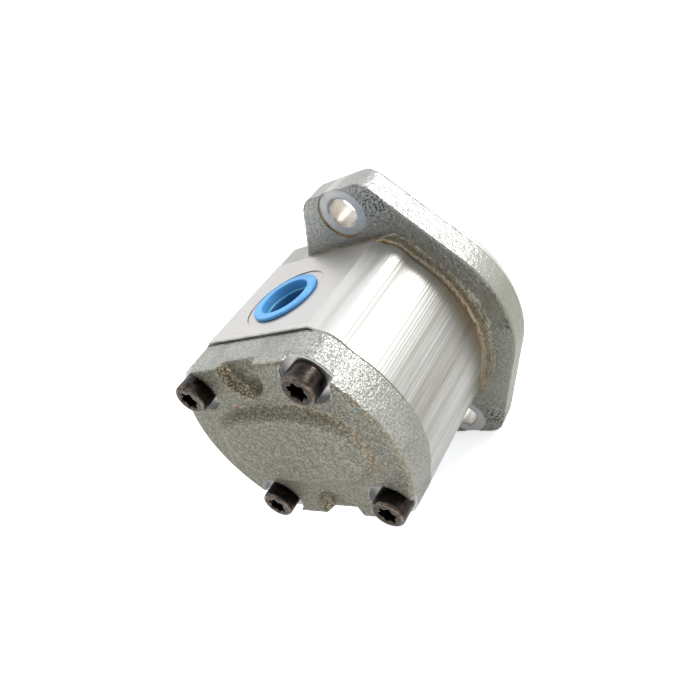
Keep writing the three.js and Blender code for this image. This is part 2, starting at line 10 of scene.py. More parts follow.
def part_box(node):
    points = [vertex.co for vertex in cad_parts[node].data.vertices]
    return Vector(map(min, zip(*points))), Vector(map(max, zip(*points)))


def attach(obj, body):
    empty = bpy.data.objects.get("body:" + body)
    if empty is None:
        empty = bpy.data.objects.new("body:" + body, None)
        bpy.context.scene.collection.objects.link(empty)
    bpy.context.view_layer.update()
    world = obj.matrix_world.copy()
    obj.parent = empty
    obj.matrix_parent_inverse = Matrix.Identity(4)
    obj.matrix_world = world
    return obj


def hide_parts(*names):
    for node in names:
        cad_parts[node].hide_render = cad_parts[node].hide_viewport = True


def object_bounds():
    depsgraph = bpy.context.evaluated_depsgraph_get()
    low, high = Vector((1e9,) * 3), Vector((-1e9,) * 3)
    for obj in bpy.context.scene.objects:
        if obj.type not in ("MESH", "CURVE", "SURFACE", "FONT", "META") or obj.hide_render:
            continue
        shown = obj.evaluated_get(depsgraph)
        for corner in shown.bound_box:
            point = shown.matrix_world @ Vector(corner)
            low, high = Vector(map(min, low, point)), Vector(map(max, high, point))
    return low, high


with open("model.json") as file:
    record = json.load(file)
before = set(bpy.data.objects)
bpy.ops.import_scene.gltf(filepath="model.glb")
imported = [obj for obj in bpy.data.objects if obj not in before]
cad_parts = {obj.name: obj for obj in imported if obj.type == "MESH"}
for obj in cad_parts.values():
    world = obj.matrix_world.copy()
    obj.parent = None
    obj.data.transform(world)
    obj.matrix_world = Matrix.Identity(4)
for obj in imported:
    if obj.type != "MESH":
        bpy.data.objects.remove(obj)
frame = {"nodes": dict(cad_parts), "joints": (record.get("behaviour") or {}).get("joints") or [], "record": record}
CAD_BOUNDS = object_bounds()

# ---------------- places, from the frame

# Blender works in metres; the shapes below are worked out in millimetres.
MM = 0.001


def box_mm(node):
    low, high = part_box(node)
    return np.array(low) / MM, np.array(high) / MM


def middle_mm(node):
    low, high = box_mm(node)
    return (low + high) / 2


FRONT_LOW, FRONT_HIGH = box_mm("front_cover")
BODY_LOW, BODY_HIGH = box_mm("pump_body")
COVER_LOW, COVER_HIGH = box_mm("rear_cover")
SHAFT_LOW, SHAFT_HIGH = box_mm("drive_gear_shaft")
IDLER_LOW, IDLER_HIGH = box_mm("driven_gear_shaft")
RING_LOW, RING_HIGH = box_mm("seal_retaining_ring")
SEAL_LOW, SEAL_HIGH = box_mm("shaft_seal")
SCREW_NODES = sorted(name for name in frame["nodes"] if name.startswith("cap_screw_"))
PLUG_NODES = ["outlet_port_plug", "inlet_port_plug"]
SLEEVE_NODES = sorted(name for name in frame["nodes"] if "dowel_sleeve" in name)
SCREW_CENTRES = [middle_mm(name)[[0, 2]] for name in SCREW_NODES]
DRIVE_X, DRIVEN_X = [joint["pos_m"][0] / MM for joint in frame["joints"]]
MIDDLE_X = (BODY_LOW[0] + BODY_HIGH[0]) / 2
PITCH_RADIUS = (DRIVE_X - DRIVEN_X) / 2
SLOTS = {part["node"]: part["material_slot"] for part in frame["record"]["subparts"]}

# The gap that the CAD keeps between pieces that touch.
JOINT_GAP = 0.1

# Outline shared by the body, the front cover's neck and the rear cover.
BODY_RADIUS = BODY_HIGH[0] - MIDDLE_X
BODY_FLAT = BODY_HIGH[2]
COVER_RADIUS = COVER_HIGH[0] - MIDDLE_X
COVER_FLAT = COVER_HIGH[2]
NECK_RADIUS = MIDDLE_X - FRONT_LOW[0]
NECK_FLAT = 39.9
LOBE_RADIUS = 8
LOBE_X = abs(SCREW_CENTRES[0][0] - MIDDLE_X)
LOBE_Z = abs(SCREW_CENTRES[0][1])
LOBE_BLEND = 2.4
SHOULDER_ANGLE = math.radians(60)
SHOULDER_BLEND = 0.3
NECK_CORNER = 1.5
COVER_CORNER = 2.0

# Front cover.
FLANGE_REAR = -11.5
FLANGE_RADIUS = FRONT_HIGH[0]
EAR_REACH = FRONT_HIGH[2]
EAR_SLOPE = math.radians(31)
EAR_ROUNDING = 4.5
COLLAR_WIDTH = 3.2
COLLAR_RISE = 0.8
BOLT_Z = 53.2
BOLT_HOLE_RADIUS = 5.8
BOLT_SEAT_RADIUS = 10
BOLT_SEAT_DEPTH = 0.6
BOLT_SEAT_Y = FLANGE_REAR + BOLT_SEAT_DEPTH
PILOT_RADIUS = 41.275
PILOT_ROUNDING = 1.2
PILOT_ROOT = 1
BORE_RADIUS = 11
SEAL_CLEARANCE = 0.3
SEAL_BORE_RADIUS = SEAL_HIGH[0] + SEAL_CLEARANCE
GROOVE_RADIUS = SEAL_HIGH[0] + 1.6
THREAD_HOLE_RADIUS = 4.3
THREAD_HOLE_END = -4
EDGE_ROUNDING = 0.5

# Pitted patch on each ear.
PIT_X = 16
PIT_Z = 54
PIT_SPREAD = 8

# Blank strip in the rear face of the flange.
STRIP_RADIUS = 39.5
STRIP_HALF_WIDTH = 3.6
STRIP_START = math.radians(-12)
STRIP_END = math.radians(17)
STRIP_DEPTH = 0.7

# Rear cover.
PAD_HALF_X = 35.5
PAD_HALF_Z = 20
PAD_POWER = 2.6
PAD_RISE = 3
PAD_WALL_SLOPE = 0.9
PAD_ROUNDING = 2.4
PAD_ROOT = 2
COVER_REAR = COVER_LOW[1] + PAD_RISE
COVER_DRAFT = 0.02
SEAT_RADIUS = 9.5
HEAD_HEIGHT = 8
SEAT_Y = box_mm(SCREW_NODES[0])[0][1] + HEAD_HEIGHT + JOINT_GAP
POCKET_DEPTH = 11.3
POCKET_FLOOR = COVER_HIGH[1] - POCKET_DEPTH + JOINT_GAP
POCKET_CENTRE_Z = 35
POCKET_HALF_WIDTH = 8.4
POCKET_TAPER = 0.35
SCREW_HOLE_RADIUS = 4.5
SLEEVE_POCKET_RADIUS = 6.3
SLEEVE_POCKET_DEPTH = 5.3

# Gears and shaft end.
TEETH = 12
PRESSURE_ANGLE = math.radians(28)
TIP_RADIUS = SHAFT_HIGH[2]
ROOT_RADIUS = 14.5
TOOTH_THINNING = 0.25
GEAR_WIDTH = 24
GEAR_MIDDLE = (BODY_LOW[1] + BODY_HIGH[1]) / 2
JOURNAL_RADIUS = 9
JOURNAL_CHAMFER = 0.6
SHAFT_NECK_RADIUS = 7.9
SPLINE_TEETH = 9
SPLINE_TIP_RADIUS = 7.75
SPLINE_ROOT_RADIUS = 6.3
SPLINE_START = 9
GEAR_BORE_RADIUS = 20.4

# Small drops of paint on the rear cover: place, radius, colour.
PAINT_SPECKS = [
    ((MIDDLE_X - 13.3, COVER_REAR, 21.0), 0.7, (0.30, 0.02, 0.015)),
    ((MIDDLE_X + 43.3, COVER_REAR, 16.9), 0.6, (0.01, 0.22, 0.28)),
    ((MIDDLE_X + 41.7, COVER_REAR + 9.4, 25.6), 0.8, (0.03, 0.03, 0.06)),
]

SEED = 7


# ---------------- distance fields

# A field is negative inside the metal, zero on its surface and positive outside.

def smooth_min(a, b, blend):
    mix = np.clip(0.5 + 0.5 * (b - a) / blend, 0, 1)
    return b + (a - b) * mix - blend * mix * (1 - mix)


def smooth_max(a, b, blend):
    return -smooth_min(-a, -b, blend)


def cut(solid, tool, blend=0.25):
    return smooth_max(solid, -tool, blend)


def disc(x, z, centre, radius):
    return np.hypot(x - centre[0], z - centre[1]) - radius


def between(values, low, high):
    return np.maximum(low - values, values - high)


def housing_section(x, z, radius, flat, corner):
    """Round sides, flat top and bottom, a lobe round each screw and a sloped shoulder above it."""
    across, up = np.abs(x - MIDDLE_X), np.abs(z)
    core = np.hypot(across, up) - radius
    lobe = disc(across, up, (LOBE_X, LOBE_Z), LOBE_RADIUS)
    normal = math.cos(SHOULDER_ANGLE), math.sin(SHOULDER_ANGLE)
    reach = LOBE_X * normal[0] + LOBE_Z * normal[1] + LOBE_RADIUS
    edge = LOBE_X + LOBE_RADIUS * normal[0]
    shoulder = np.maximum(across * normal[0] + up * normal[1] - reach, across - edge)
    round_part = smooth_min(smooth_min(core, lobe, LOBE_BLEND), shoulder, SHOULDER_BLEND)
    return smooth_max(round_part, up - flat, corner)


def flange_section(x, z):
    """Round about the drive shaft, with straight sides out to the two flat-ended ears."""
    across, up = np.abs(x), np.abs(z)
    side = across * math.cos(EAR_SLOPE) + up * math.sin(EAR_SLOPE) - FLANGE_RADIUS
    middle = np.hypot(across, up) - FLANGE_RADIUS
    outline = np.where(up < across * math.tan(EAR_SLOPE), middle, side)
    return smooth_max(outline, up - EAR_REACH, EAR_ROUNDING)


def pad_section(x, z):
    """Superellipse, as a distance."""
    across = np.abs(x - MIDDLE_X) / PAD_HALF_X + 1e-6
    up = np.abs(z) / PAD_HALF_Z + 1e-6
    level = (across**PAD_POWER + up**PAD_POWER) ** (1 / PAD_POWER)
    slope_x = (across / level) ** (PAD_POWER - 1) / PAD_HALF_X
    slope_z = (up / level) ** (PAD_POWER - 1) / PAD_HALF_Z
    return (level - 1) / np.hypot(slope_x, slope_z)


def sleeve_pockets(x, y, z, face):
    centres = {tuple(np.round(middle_mm(name)[[0, 2]], 3)) for name in SLEEVE_NODES}
    pockets = [disc(x, z, centre, SLEEVE_POCKET_RADIUS) for centre in sorted(centres)]
    return np.maximum(np.minimum(*pockets), np.abs(y - face) - SLEEVE_POCKET_DEPTH)


def front_cover_field(point):
    x, y, z = point.T
    solid = uncut_front_cover(x, y, z)
    solid = cut(solid, np.maximum(bolt_seat(x, z), y - BOLT_SEAT_Y), 0.3)
    solid = cut(solid, bolt_hole(x, z), 0.7)
    solid = cut(solid, strip_recess(x, y, z), 0.5)
    solid = cut(solid, disc(x, z, (DRIVE_X, 0), BORE_RADIUS))
    seal_bore = disc(x, z, (DRIVE_X, 0), SEAL_BORE_RADIUS)
    solid = cut(solid, np.maximum(seal_bore, SEAL_LOW[1] - SEAL_CLEARANCE - y), 0.8)
    groove = disc(x, z, (DRIVE_X, 0), GROOVE_RADIUS)
    groove_sides = between(y, RING_LOW[1] - JOINT_GAP, RING_HIGH[1] + JOINT_GAP)
    solid = cut(solid, np.maximum(groove, groove_sides))
    for centre in SCREW_CENTRES:
        thread = disc(x, z, centre, THREAD_HOLE_RADIUS)
        solid = cut(solid, np.maximum(thread, y - THREAD_HOLE_END))
    return cut(solid, sleeve_pockets(x, y, z, FRONT_LOW[1]))


def uncut_front_cover(x, y, z):
    """Flange plate with the collar and the neck behind it and the pilot in front."""
    outline = flange_section(x, z)
    plate = smooth_max(outline, FLANGE_REAR - y, 0.8)
    neck = smooth_max(neck_section(x, z), FRONT_LOW[1] - y, EDGE_ROUNDING)
    collar = np.maximum(collar_section(x, z), outline + COLLAR_RISE)
    collar = smooth_max(collar, FLANGE_REAR - COLLAR_RISE - y, EDGE_ROUNDING)
    solid = smooth_min(smooth_min(plate, collar, 0.5), neck, 0.7)
    solid = smooth_max(solid, y, EDGE_ROUNDING)
    pilot = disc(x, z, (DRIVE_X, 0), PILOT_RADIUS)
    pilot = smooth_max(pilot, y - FRONT_HIGH[1], PILOT_ROUNDING)
    return np.minimum(solid, np.maximum(pilot, -PILOT_ROOT - y))


def neck_section(x, z):
    return housing_section(x, z, NECK_RADIUS, NECK_FLAT, NECK_CORNER)


def collar_section(x, z):
    """Low step round the neck, as flat on top as the neck itself."""
    wide = housing_section(x, z, NECK_RADIUS, NECK_FLAT + COLLAR_WIDTH, NECK_CORNER)
    return np.maximum(wide - COLLAR_WIDTH, np.abs(z) - NECK_FLAT)


def bolt_hole(x, z):
    return disc(x, np.abs(z), (DRIVE_X, BOLT_Z), BOLT_HOLE_RADIUS)


def bolt_seat(x, z):
    """Spotface around each flange bolt hole."""
    return disc(x, np.abs(z), (DRIVE_X, BOLT_Z), BOLT_SEAT_RADIUS)


def strip_recess(x, y, z):
    """Shallow blank strip in the rear face of the flange, curved about the drive shaft."""
    radius, angle = np.hypot(x, z), np.arctan2(z, x)
    along = between(angle, STRIP_START, STRIP_END) * STRIP_RADIUS
    strip = smooth_max(np.abs(radius - STRIP_RADIUS) - STRIP_HALF_WIDTH, along, 1.0)
    return smooth_max(strip, y - FLANGE_REAR - STRIP_DEPTH, 0.5)


def rear_cover_field(point):
    x, y, z = point.T
    draft = COVER_DRAFT * (COVER_HIGH[1] - y)
    outline = cover_section(x, z) + draft
    plate = smooth_max(outline, COVER_REAR - y, 1.8)
    pad = pad_section(x, z) + PAD_WALL_SLOPE * np.maximum(COVER_REAR - y, -PAD_ROOT)
    pad = smooth_max(pad, COVER_LOW[1] - y, PAD_ROUNDING)
    solid = np.maximum(smooth_min(plate, pad, PAD_ROUNDING), y - COVER_HIGH[1])
    solid = cut(solid, edge_pockets(x, y, z), 1.0)
    for centre in SCREW_CENTRES:
        seat = np.maximum(disc(x, z, centre, SEAT_RADIUS), y - SEAT_Y)
        solid = cut(solid, seat, 0.3)
        solid = cut(solid, disc(x, z, centre, SCREW_HOLE_RADIUS))
    return cut(solid, sleeve_pockets(x, y, z, COVER_HIGH[1]))


def cover_section(x, z):
    return housing_section(x, z, COVER_RADIUS, COVER_FLAT, COVER_CORNER)


def edge_pockets(x, y, z):
    """Round-ended pockets in the middle of the top and bottom edge, wider towards the open side."""
    inward = np.maximum(POCKET_CENTRE_Z - np.abs(z), 0)
    walls = np.hypot(x - MIDDLE_X, inward) - POCKET_HALF_WIDTH + POCKET_TAPER * (y - POCKET_FLOOR)
    return smooth_max(walls, y - POCKET_FLOOR, 1.2)


def retaining_ring_field(point):
    """Spring ring with an open gap at the bottom and a drilled lug at each end."""
    x, y, z = point.T
    outer, band, half_gap = RING_HIGH[0], 2.8, math.radians(26)
    lug_angle, lug_radius, lug_hole = half_gap + 0.12, 2.1, 0.9
    radius, angle = np.hypot(x, z), np.abs(np.arctan2(x, -z))
    ring = np.abs(radius - outer + band / 2) - band / 2
    ring = np.maximum(ring, (half_gap - angle) * radius)
    centre = math.sin(lug_angle) * (outer - 3), -math.cos(lug_angle) * (outer - 3)
    ring = smooth_min(ring, disc(np.abs(x), z, centre, lug_radius), 0.6)
    ring = np.maximum(ring, -disc(np.abs(x), z, centre, lug_hole))
    return smooth_max(ring, between(y, RING_LOW[1], RING_HIGH[1]), 0.3)


# ---------------- meshes from fields

def field_normals(field, points, reach=0.02):
    slopes = []
    for axis in np.eye(3) * reach:
        slopes.append(field(points + axis) - field(points - axis))
    slopes = np.stack(slopes, 1)
    return slopes / np.maximum(np.linalg.norm(slopes, axis=1, keepdims=True), 1e-9)


def contour(field, low, high, step):
    """Quads on the zero surface of a field; corners and edges come out sharp."""
    low = np.asarray(low) - 1.5 * step
    counts = np.ceil((np.asarray(high) + 1.5 * step - low) / step).astype(int) + 1
    axes = [low[i] + step * np.arange(counts[i]) for i in range(3)]
    grid = np.stack(np.meshgrid(*axes, indexing="ij"), -1).reshape(-1, 3)
    values = field(grid).reshape(counts)
    inside = values < 0
    cell_shape = counts - 1
    cell_of = np.full(cell_shape, -1)
    starts, ends, rings = crossings(inside)
    used = np.zeros(cell_shape, bool)
    used[tuple(rings.reshape(-1, 3).T)] = True
    cell_of[used] = np.arange(used.sum())
    faces = cell_of[tuple(rings.reshape(-1, 3).T)].reshape(-1, 4)
    first, second = values[tuple(starts.T)], values[tuple(ends.T)]
    share = (first / (first - second))[:, None]
    hits = low + step * (starts + (ends - starts) * share)
    normals = field_normals(field, hits)
    centres = low + step * (np.argwhere(used) + 0.5)
    points = fit_to_planes(hits, normals, faces, centres, step)
    return points, faces


def crossings(inside):
    """Grid edges that cross the surface: their two ends and the ring of four cells round each."""
    starts, ends, rings = [], [], []
    for axis in range(3):
        unit = np.eye(3, dtype=int)[axis]
        along_b = np.eye(3, dtype=int)[(axis + 1) % 3]
        along_c = np.eye(3, dtype=int)[(axis + 2) % 3]
        lower = np.delete(inside, -1, axis)
        upper = np.delete(inside, 0, axis)
        edge = np.argwhere(lower != upper)
        outward = lower[tuple(edge.T)]
        corners = [-along_b - along_c, -along_c, 0 * unit, -along_b]
        ring = np.stack([edge + corner for corner in corners], 1)
        ring[~outward] = ring[~outward][:, ::-1]
        starts.append(edge)
        ends.append(edge + unit)
        rings.append(ring)
    return np.vstack(starts), np.vstack(ends), np.vstack(rings)


def fit_to_planes(hits, normals, faces, centres, step, pull=0.08):
    """The point of each cell that lies closest to the planes through its surface hits."""
    count = len(centres)
    cells = faces.ravel()
    hit, normal = np.repeat(hits, 4, axis=0), np.repeat(normals, 4, axis=0)
    weight = np.bincount(cells, minlength=count)[:, None]
    mean = np.stack([np.bincount(cells, hit[:, i], count) for i in range(3)], 1) / weight
    offset = np.sum(normal * (hit - mean[cells]), axis=1)
    matrix = np.empty((count, 3, 3))
    right = np.empty((count, 3))
    for i in range(3):
        right[:, i] = np.bincount(cells, normal[:, i] * offset, count)
        for j in range(3):
            matrix[:, i, j] = np.bincount(cells, normal[:, i] * normal[:, j], count)
    matrix += pull * weight[:, :, None] * np.eye(3)
    moved = mean + np.linalg.solve(matrix, right[:, :, None])[:, :, 0]
    return np.clip(moved, centres - 0.6 * step, centres + 0.6 * step)


def add_grain(points, field, amount, sizes):
    """Lumps of a rough casting: moves points in and out by up to the given amounts."""
    normals = field_normals(field, points)
    height = np.zeros(len(points))
    for size, share in sizes:
        lumps = [noise.noise(Vector(point)) for point in points / size]
        height += share * np.array(lumps)
    return points + normals * (height * amount)[:, None]


# ---------------- lofted and turned meshes

SHARP_ANGLE = math.radians(32)


def make_object(name, points, faces, material, turn_faces_out=True):
    mesh = bpy.data.meshes.new(name)
    mesh.from_pydata((np.asarray(points) * MM).tolist(), [], faces)
    if turn_faces_out:
        build = bmesh.new()
        build.from_mesh(mesh)
        bmesh.ops.recalc_face_normals(build, faces=build.faces)
        build.to_mesh(mesh)
        build.free()
    mesh.shade_smooth()
    mesh.set_sharp_from_angle(angle=SHARP_ANGLE)
    mesh.materials.append(material)
    piece = bpy.data.objects.new(name, mesh)
    bpy.context.scene.collection.objects.link(piece)
    return piece


def set_attribute(piece, name, values):
    layer = piece.data.attributes.new(name, "FLOAT", "POINT")
    layer.data.foreach_set("value", np.asarray(values, np.float32))


def circle_angles(sides):
    return np.arange(sides) * 2 * math.pi / sides


def ring_along_y(radius, y, centre, sides):
    angles = circle_angles(sides)
    x = centre[0] + radius * np.cos(angles)
    z = centre[1] + radius * np.sin(angles)
    return np.stack([x, np.full(sides, y), z], 1)


def ring_along_z(radius, z, centre, sides):
    angles = circle_angles(sides)
    x = centre[0] + radius * np.cos(angles)
    y = centre[1] + radius * np.sin(angles)
    return np.stack([x, y, np.full(sides, z)], 1)


def loft(rings, endless=False):
    """Skin through equal rings. The ends are closed by fans, or joined when it is endless."""
    rings = np.asarray(rings)
    count, sides, _ = rings.shape
    points = rings.reshape(-1, 3)
    here = np.arange(sides)
    following = np.roll(here, -1)
    faces = []
    for ring in range(count if endless else count - 1):
        low, high = ring * sides, (ring + 1) % count * sides
        quads = np.stack([low + here, low + following, high + following, high + here], 1)
        faces += quads.tolist()
    if endless:
        return points, faces
    points = np.vstack([points, rings[0].mean(0), rings[-1].mean(0)])
    for centre, start in ((count * sides, 0), (count * sides + 1, (count - 1) * sides)):
        fan = np.stack([np.full(sides, centre), start + here, start + following], 1)
        faces += fan.tolist()
    return points, faces


def rounded(corners, radius, steps=3):
    """Profile corners [(a, b), ...] with each inner corner cut by a small arc."""
    result = [corners[0]]
    for before, here, after in zip(corners, corners[1:], corners[2:]):
        here, before, after = np.array(here), np.array(before), np.array(after)
        into, out = before - here, after - here
        reach = min(radius, np.linalg.norm(into) / 2.2, np.linalg.norm(out) / 2.2)
        start = here + into / max(np.linalg.norm(into), 1e-9) * reach
        end = here + out / max(np.linalg.norm(out), 1e-9) * reach
        for i in range(steps + 1):
            t = i / steps
            result.append(tuple((1 - t) ** 2 * start + 2 * t * (1 - t) * here + t**2 * end))
    return result + [corners[-1]]


def carve(target, cutters):
    """Cuts closed objects out of another one and removes them."""
    for cutter in cutters:
        modifier = target.modifiers.new("carve", "BOOLEAN")
        modifier.operation = "DIFFERENCE"
        modifier.solver = "EXACT"
        modifier.object = cutter
    graph = bpy.context.evaluated_depsgraph_get()
    carved = bpy.data.meshes.new_from_object(target.evaluated_get(graph))
    target.modifiers.clear()
    target.data = carved
    carved.set_sharp_from_angle(angle=SHARP_ANGLE)
    for cutter in cutters:
        bpy.data.objects.remove(cutter)


def place(piece, node, body="housing"):
    """The piece stands for a CAD node and moves with its body."""
    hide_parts(node)
    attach(piece, body)


# ---------------- material building

class Surface:
    """A node material, with the steps that all the materials below share."""

    def __init__(self, name, metallic, specular=0.5):
        self.material = bpy.data.materials.new(name)
        self.material.use_nodes = True
        self.tree = self.material.node_tree
        self.shader = self.tree.nodes["Principled BSDF"]
        self.shader.inputs["Metallic"].default_value = metallic
        self.shader.inputs["Specular IOR Level"].default_value = specular
        self.place = self.add("ShaderNodeTexCoord").outputs["Object"]

    def add(self, kind, inputs=None, **settings):
        node = self.tree.nodes.new(kind)
        for key, value in settings.items():
            setattr(node, key, value)
        for key, value in (inputs or {}).items():
            self.feed(node.inputs[key], value)
        return node

    def feed(self, socket, value):
        if isinstance(value, bpy.types.NodeSocket):
            self.tree.links.new(value, socket)
        else:
            socket.default_value = value

    def noise(self, size_mm, detail=3.0, roughness=0.55, stretch=(1, 1, 1), warp=0.0):
        where = self.add("ShaderNodeMapping", {"Vector": self.place, "Scale": stretch})
        settings = {
            "Vector": where.outputs[0],
            "Scale": 1 / (size_mm * MM),
            "Detail": detail,
            "Roughness": roughness,
            "Distortion": warp,
        }
        return self.add("ShaderNodeTexNoise", settings).outputs["Fac"]

    def turning_marks(self, pitch_mm):
        """Fine rings about the drive shaft, as a lathe leaves them."""
        flat = self.add("ShaderNodeVectorMath", {0: self.place, 1: (1, 0, 1)}, operation="MULTIPLY")
        radius = self.add("ShaderNodeVectorMath", {0: flat.outputs[0]}, operation="LENGTH")
        settings = {"W": radius.outputs["Value"], "Scale": 1 / (pitch_mm * MM), "Detail": 2.0}
        return self.add("ShaderNodeTexNoise", settings, noise_dimensions="1D").outputs["Fac"]

    def range(self, value, low, high, start=0.0, end=1.0):
        settings = {"Value": value, "From Min": low, "From Max": high, "To Min": start, "To Max": end}
        return self.add("ShaderNodeMapRange", settings).outputs[0]

    def math(self, operation, a, b=0.0):
        return self.add("ShaderNodeMath", {0: a, 1: b}, operation=operation).outputs[0]

    def times(self, a, b):
        return self.math("MULTIPLY", a, b)

    def blend(self, factor, a, b):
        a = (*a, 1) if isinstance(a, tuple) else a
        b = (*b, 1) if isinstance(b, tuple) else b
        node = self.add("ShaderNodeMix", data_type="RGBA")
        self.feed(node.inputs[0], factor)
        self.feed(node.inputs[6], a)
        self.feed(node.inputs[7], b)
        return node.outputs[2]

    def attribute(self, name):
        return self.add("ShaderNodeAttribute", attribute_name=name).outputs["Fac"]

    def spot(self, centre_mm, radius_mm):
        """Almost 1 inside a small ball, 0 outside it."""
        centre = tuple(value * MM for value in centre_mm)
        settings = {0: self.place, 1: centre}
        away = self.add("ShaderNodeVectorMath", settings, operation="DISTANCE").outputs["Value"]
        return self.range(away, 0.7 * radius_mm * MM, radius_mm * MM, 0.9, 0.0)

    def bump(self, height, depth_mm, strength=1.0, under=None):
        settings = {"Height": height, "Distance": depth_mm * MM, "Strength": strength}
        if under is not None:
            settings["Normal"] = under
        return self.add("ShaderNodeBump", settings).outputs[0]

    def finish(self, colour, roughness, normal):
        self.feed(self.shader.inputs["Base Color"], colour)
        self.feed(self.shader.inputs["Roughness"], roughness)
        self.feed(self.shader.inputs["Normal"], normal)
        return self.material


# ---------------- materials

def zinc_casting():
    """Zinc-plated rough cast iron. Machined faces are smooth, some edges have a golden tint, and shaded faces are
    painted darker.
    """
    surface = Surface("zinc_casting", metallic=0.95)
    machined = surface.attribute("machined")
    patina = surface.attribute("patina")
    painted_shade = surface.attribute("painted_shade")
    pitted = surface.attribute("pitted")
    lumps = surface.noise(1.5, detail=1, roughness=0.5, warp=0.5)
    grain = surface.noise(0.75, detail=1, roughness=0.5)
    speckle = surface.noise(0.9, detail=2, roughness=0.6)
    sand = surface.noise(0.28, detail=2)
    clouds = surface.noise(14, detail=3)
    painted_shade_tone, gold = (0.18, 0.175, 0.13), (0.27, 0.205, 0.105)
    dark_fleck, light_fleck = (0.055, 0.05, 0.038), (0.62, 0.61, 0.57)
    cast = surface.blend(surface.range(clouds, 0.35, 0.65), (0.335, 0.345, 0.33), (0.43, 0.44, 0.42))
    # Painted shade: the cast colour goes to a dark yellowish grey where the part lies in shade.
    cast = surface.blend(painted_shade, cast, painted_shade_tone)
    tint = surface.times(patina, surface.range(grain, 0.35, 0.55, 0.45, 1.0))
    cast = surface.blend(tint, cast, gold)
    dark = surface.range(speckle, 0.40, 0.53, 1.0, 0.0)
    cast = surface.blend(surface.times(pitted, dark), cast, dark_fleck)
    light = surface.range(speckle, 0.52, 0.66, 0.0, 0.42)
    cast = surface.blend(surface.times(pitted, light), cast, light_fleck)
    smooth = surface.blend(surface.range(clouds, 0.4, 0.6), (0.46, 0.46, 0.45), (0.54, 0.54, 0.53))
    stains = surface.noise(4, detail=4, roughness=0.6)
    smooth = surface.blend(surface.range(stains, 0.36, 0.50, 0.35, 0.0), smooth, (0.30, 0.295, 0.28))
    smooth = surface.blend(patina, smooth, (0.30, 0.20, 0.08))
    colour = surface.blend(machined, cast, smooth)
    for centre, radius, paint in PAINT_SPECKS:
        colour = surface.blend(surface.spot(centre, radius), colour, paint)
    rough_cast = surface.range(sand, 0.3, 0.7, 0.34, 0.50)
    turning = surface.turning_marks(0.45)
    roughness = surface.range(machined, 0, 1, rough_cast, surface.range(turning, 0.3, 0.7, 0.32, 0.45))
    depth = surface.range(machined, 0, 1, 1.0, 0.02)
    coarse = surface.times(lumps, surface.times(depth, surface.attribute("coarse")))
    fine = surface.times(grain, surface.times(depth, surface.attribute("grainy")))
    normal = surface.bump(coarse, 0.65)
    normal = surface.bump(fine, 0.28, under=normal)
    normal = surface.bump(surface.times(sand, depth), 0.035, under=normal)
    normal = surface.bump(surface.times(turning, machined), 0.012, under=normal)
    return surface.finish(colour, roughness, normal)


def drawn_aluminium():
    """Drawn extrusion, lined along its length, with milled port faces, painted shade on its round sides and the
    flange's painted shadow on its front end.
    """
    surface = Surface("drawn_aluminium", metallic=1.0)
    normal = surface.add("ShaderNodeNewGeometry").outputs["True Normal"]
    upward = surface.add("ShaderNodeSeparateXYZ", {0: normal}).outputs["Z"]
    upward = surface.math("ABSOLUTE", upward)
    milled = surface.range(upward, 0.97, 0.99)
    side = surface.range(upward, 0.45, 0.10)
    lines = surface.noise(0.8, detail=2, roughness=0.6, stretch=(1, 0.012, 1))
    bands = surface.noise(4.0, detail=3, stretch=(1, 0.03, 1))
    painted_shade_tone = surface.noise(6, detail=5, stretch=(1, 0.10, 1))
    # Painted shade: sideways-facing round sides are darker than the shoulders, and browner in streaks along the
    # die lines and in blotches.
    shoulder = surface.blend(surface.range(bands, 0.38, 0.60), (0.44, 0.44, 0.42), (0.54, 0.545, 0.53))
    shaded_round_side = surface.blend(surface.range(bands, 0.38, 0.60), (0.30, 0.295, 0.27), (0.39, 0.39, 0.375))
    drawn = surface.blend(side, shoulder, shaded_round_side)
    streaked_shade = surface.times(surface.range(lines, 0.30, 0.44, 0.55, 0.0), side)
    drawn = surface.blend(streaked_shade, drawn, (0.30, 0.26, 0.21))
    blotched_shade = surface.times(surface.range(painted_shade_tone, 0.48, 0.64, 0.0, 0.7), side)
    drawn = surface.blend(blotched_shade, drawn, (0.23, 0.20, 0.16))
    # Painted shadow: the flange's shadow, painted brown on the last 9 mm of the sides at the front end.
    along = surface.add("ShaderNodeSeparateXYZ", {0: surface.place}).outputs["Y"]
    shadow_start, shadow_full = BODY_HIGH[1] - 9, BODY_HIGH[1] - 1
    front = surface.range(along, shadow_start * MM, shadow_full * MM, 0.0, 0.7)
    painted_flange_shadow = surface.times(front, surface.range(upward, 0.62, 0.15))
    drawn = surface.blend(painted_flange_shadow, drawn, (0.34, 0.275, 0.185))
    face = surface.noise(0.5, detail=2, stretch=(0.04, 1, 1))
    flat = surface.blend(surface.range(face, 0.3, 0.7), (0.50, 0.49, 0.48), (0.56, 0.55, 0.54))
    colour = surface.blend(milled, drawn, flat)
    rough_drawn = surface.range(bands, 0.3, 0.7, 0.48, 0.36)
    roughness = surface.range(milled, 0, 1, rough_drawn, 0.45)
    strength = surface.range(milled, 0, 1, surface.range(side, 0, 1, 0.15, 0.7), 0.0)
    bump = surface.bump(surface.times(lines, strength), 0.05)
    bump = surface.bump(surface.times(face, milled), 0.004, under=bump)
    return surface.finish(colour, roughness, bump)


def black_oxide():
    """Blackened screw steel, worn to bare metal where the head was handled."""
    surface = Surface("black_oxide", metallic=0.85)
    wear = surface.attribute("wear")
    blotches = surface.noise(1.6, detail=4)
    fine = surface.noise(0.25, detail=2)
    dark = surface.blend(surface.range(blotches, 0.4, 0.65), (0.010, 0.0075, 0.006), (0.034, 0.025, 0.019))
    bare = surface.blend(surface.range(fine, 0.35, 0.65), (0.17, 0.125, 0.095), (0.30, 0.25, 0.21))
    worn = surface.times(wear, surface.range(blotches, 0.32, 0.58, 0.25, 1.0))
    colour = surface.blend(worn, dark, bare)
    roughness = surface.range(fine, 0.3, 0.7, 0.22, 0.36)
    return surface.finish(colour, roughness, surface.bump(fine, 0.03))


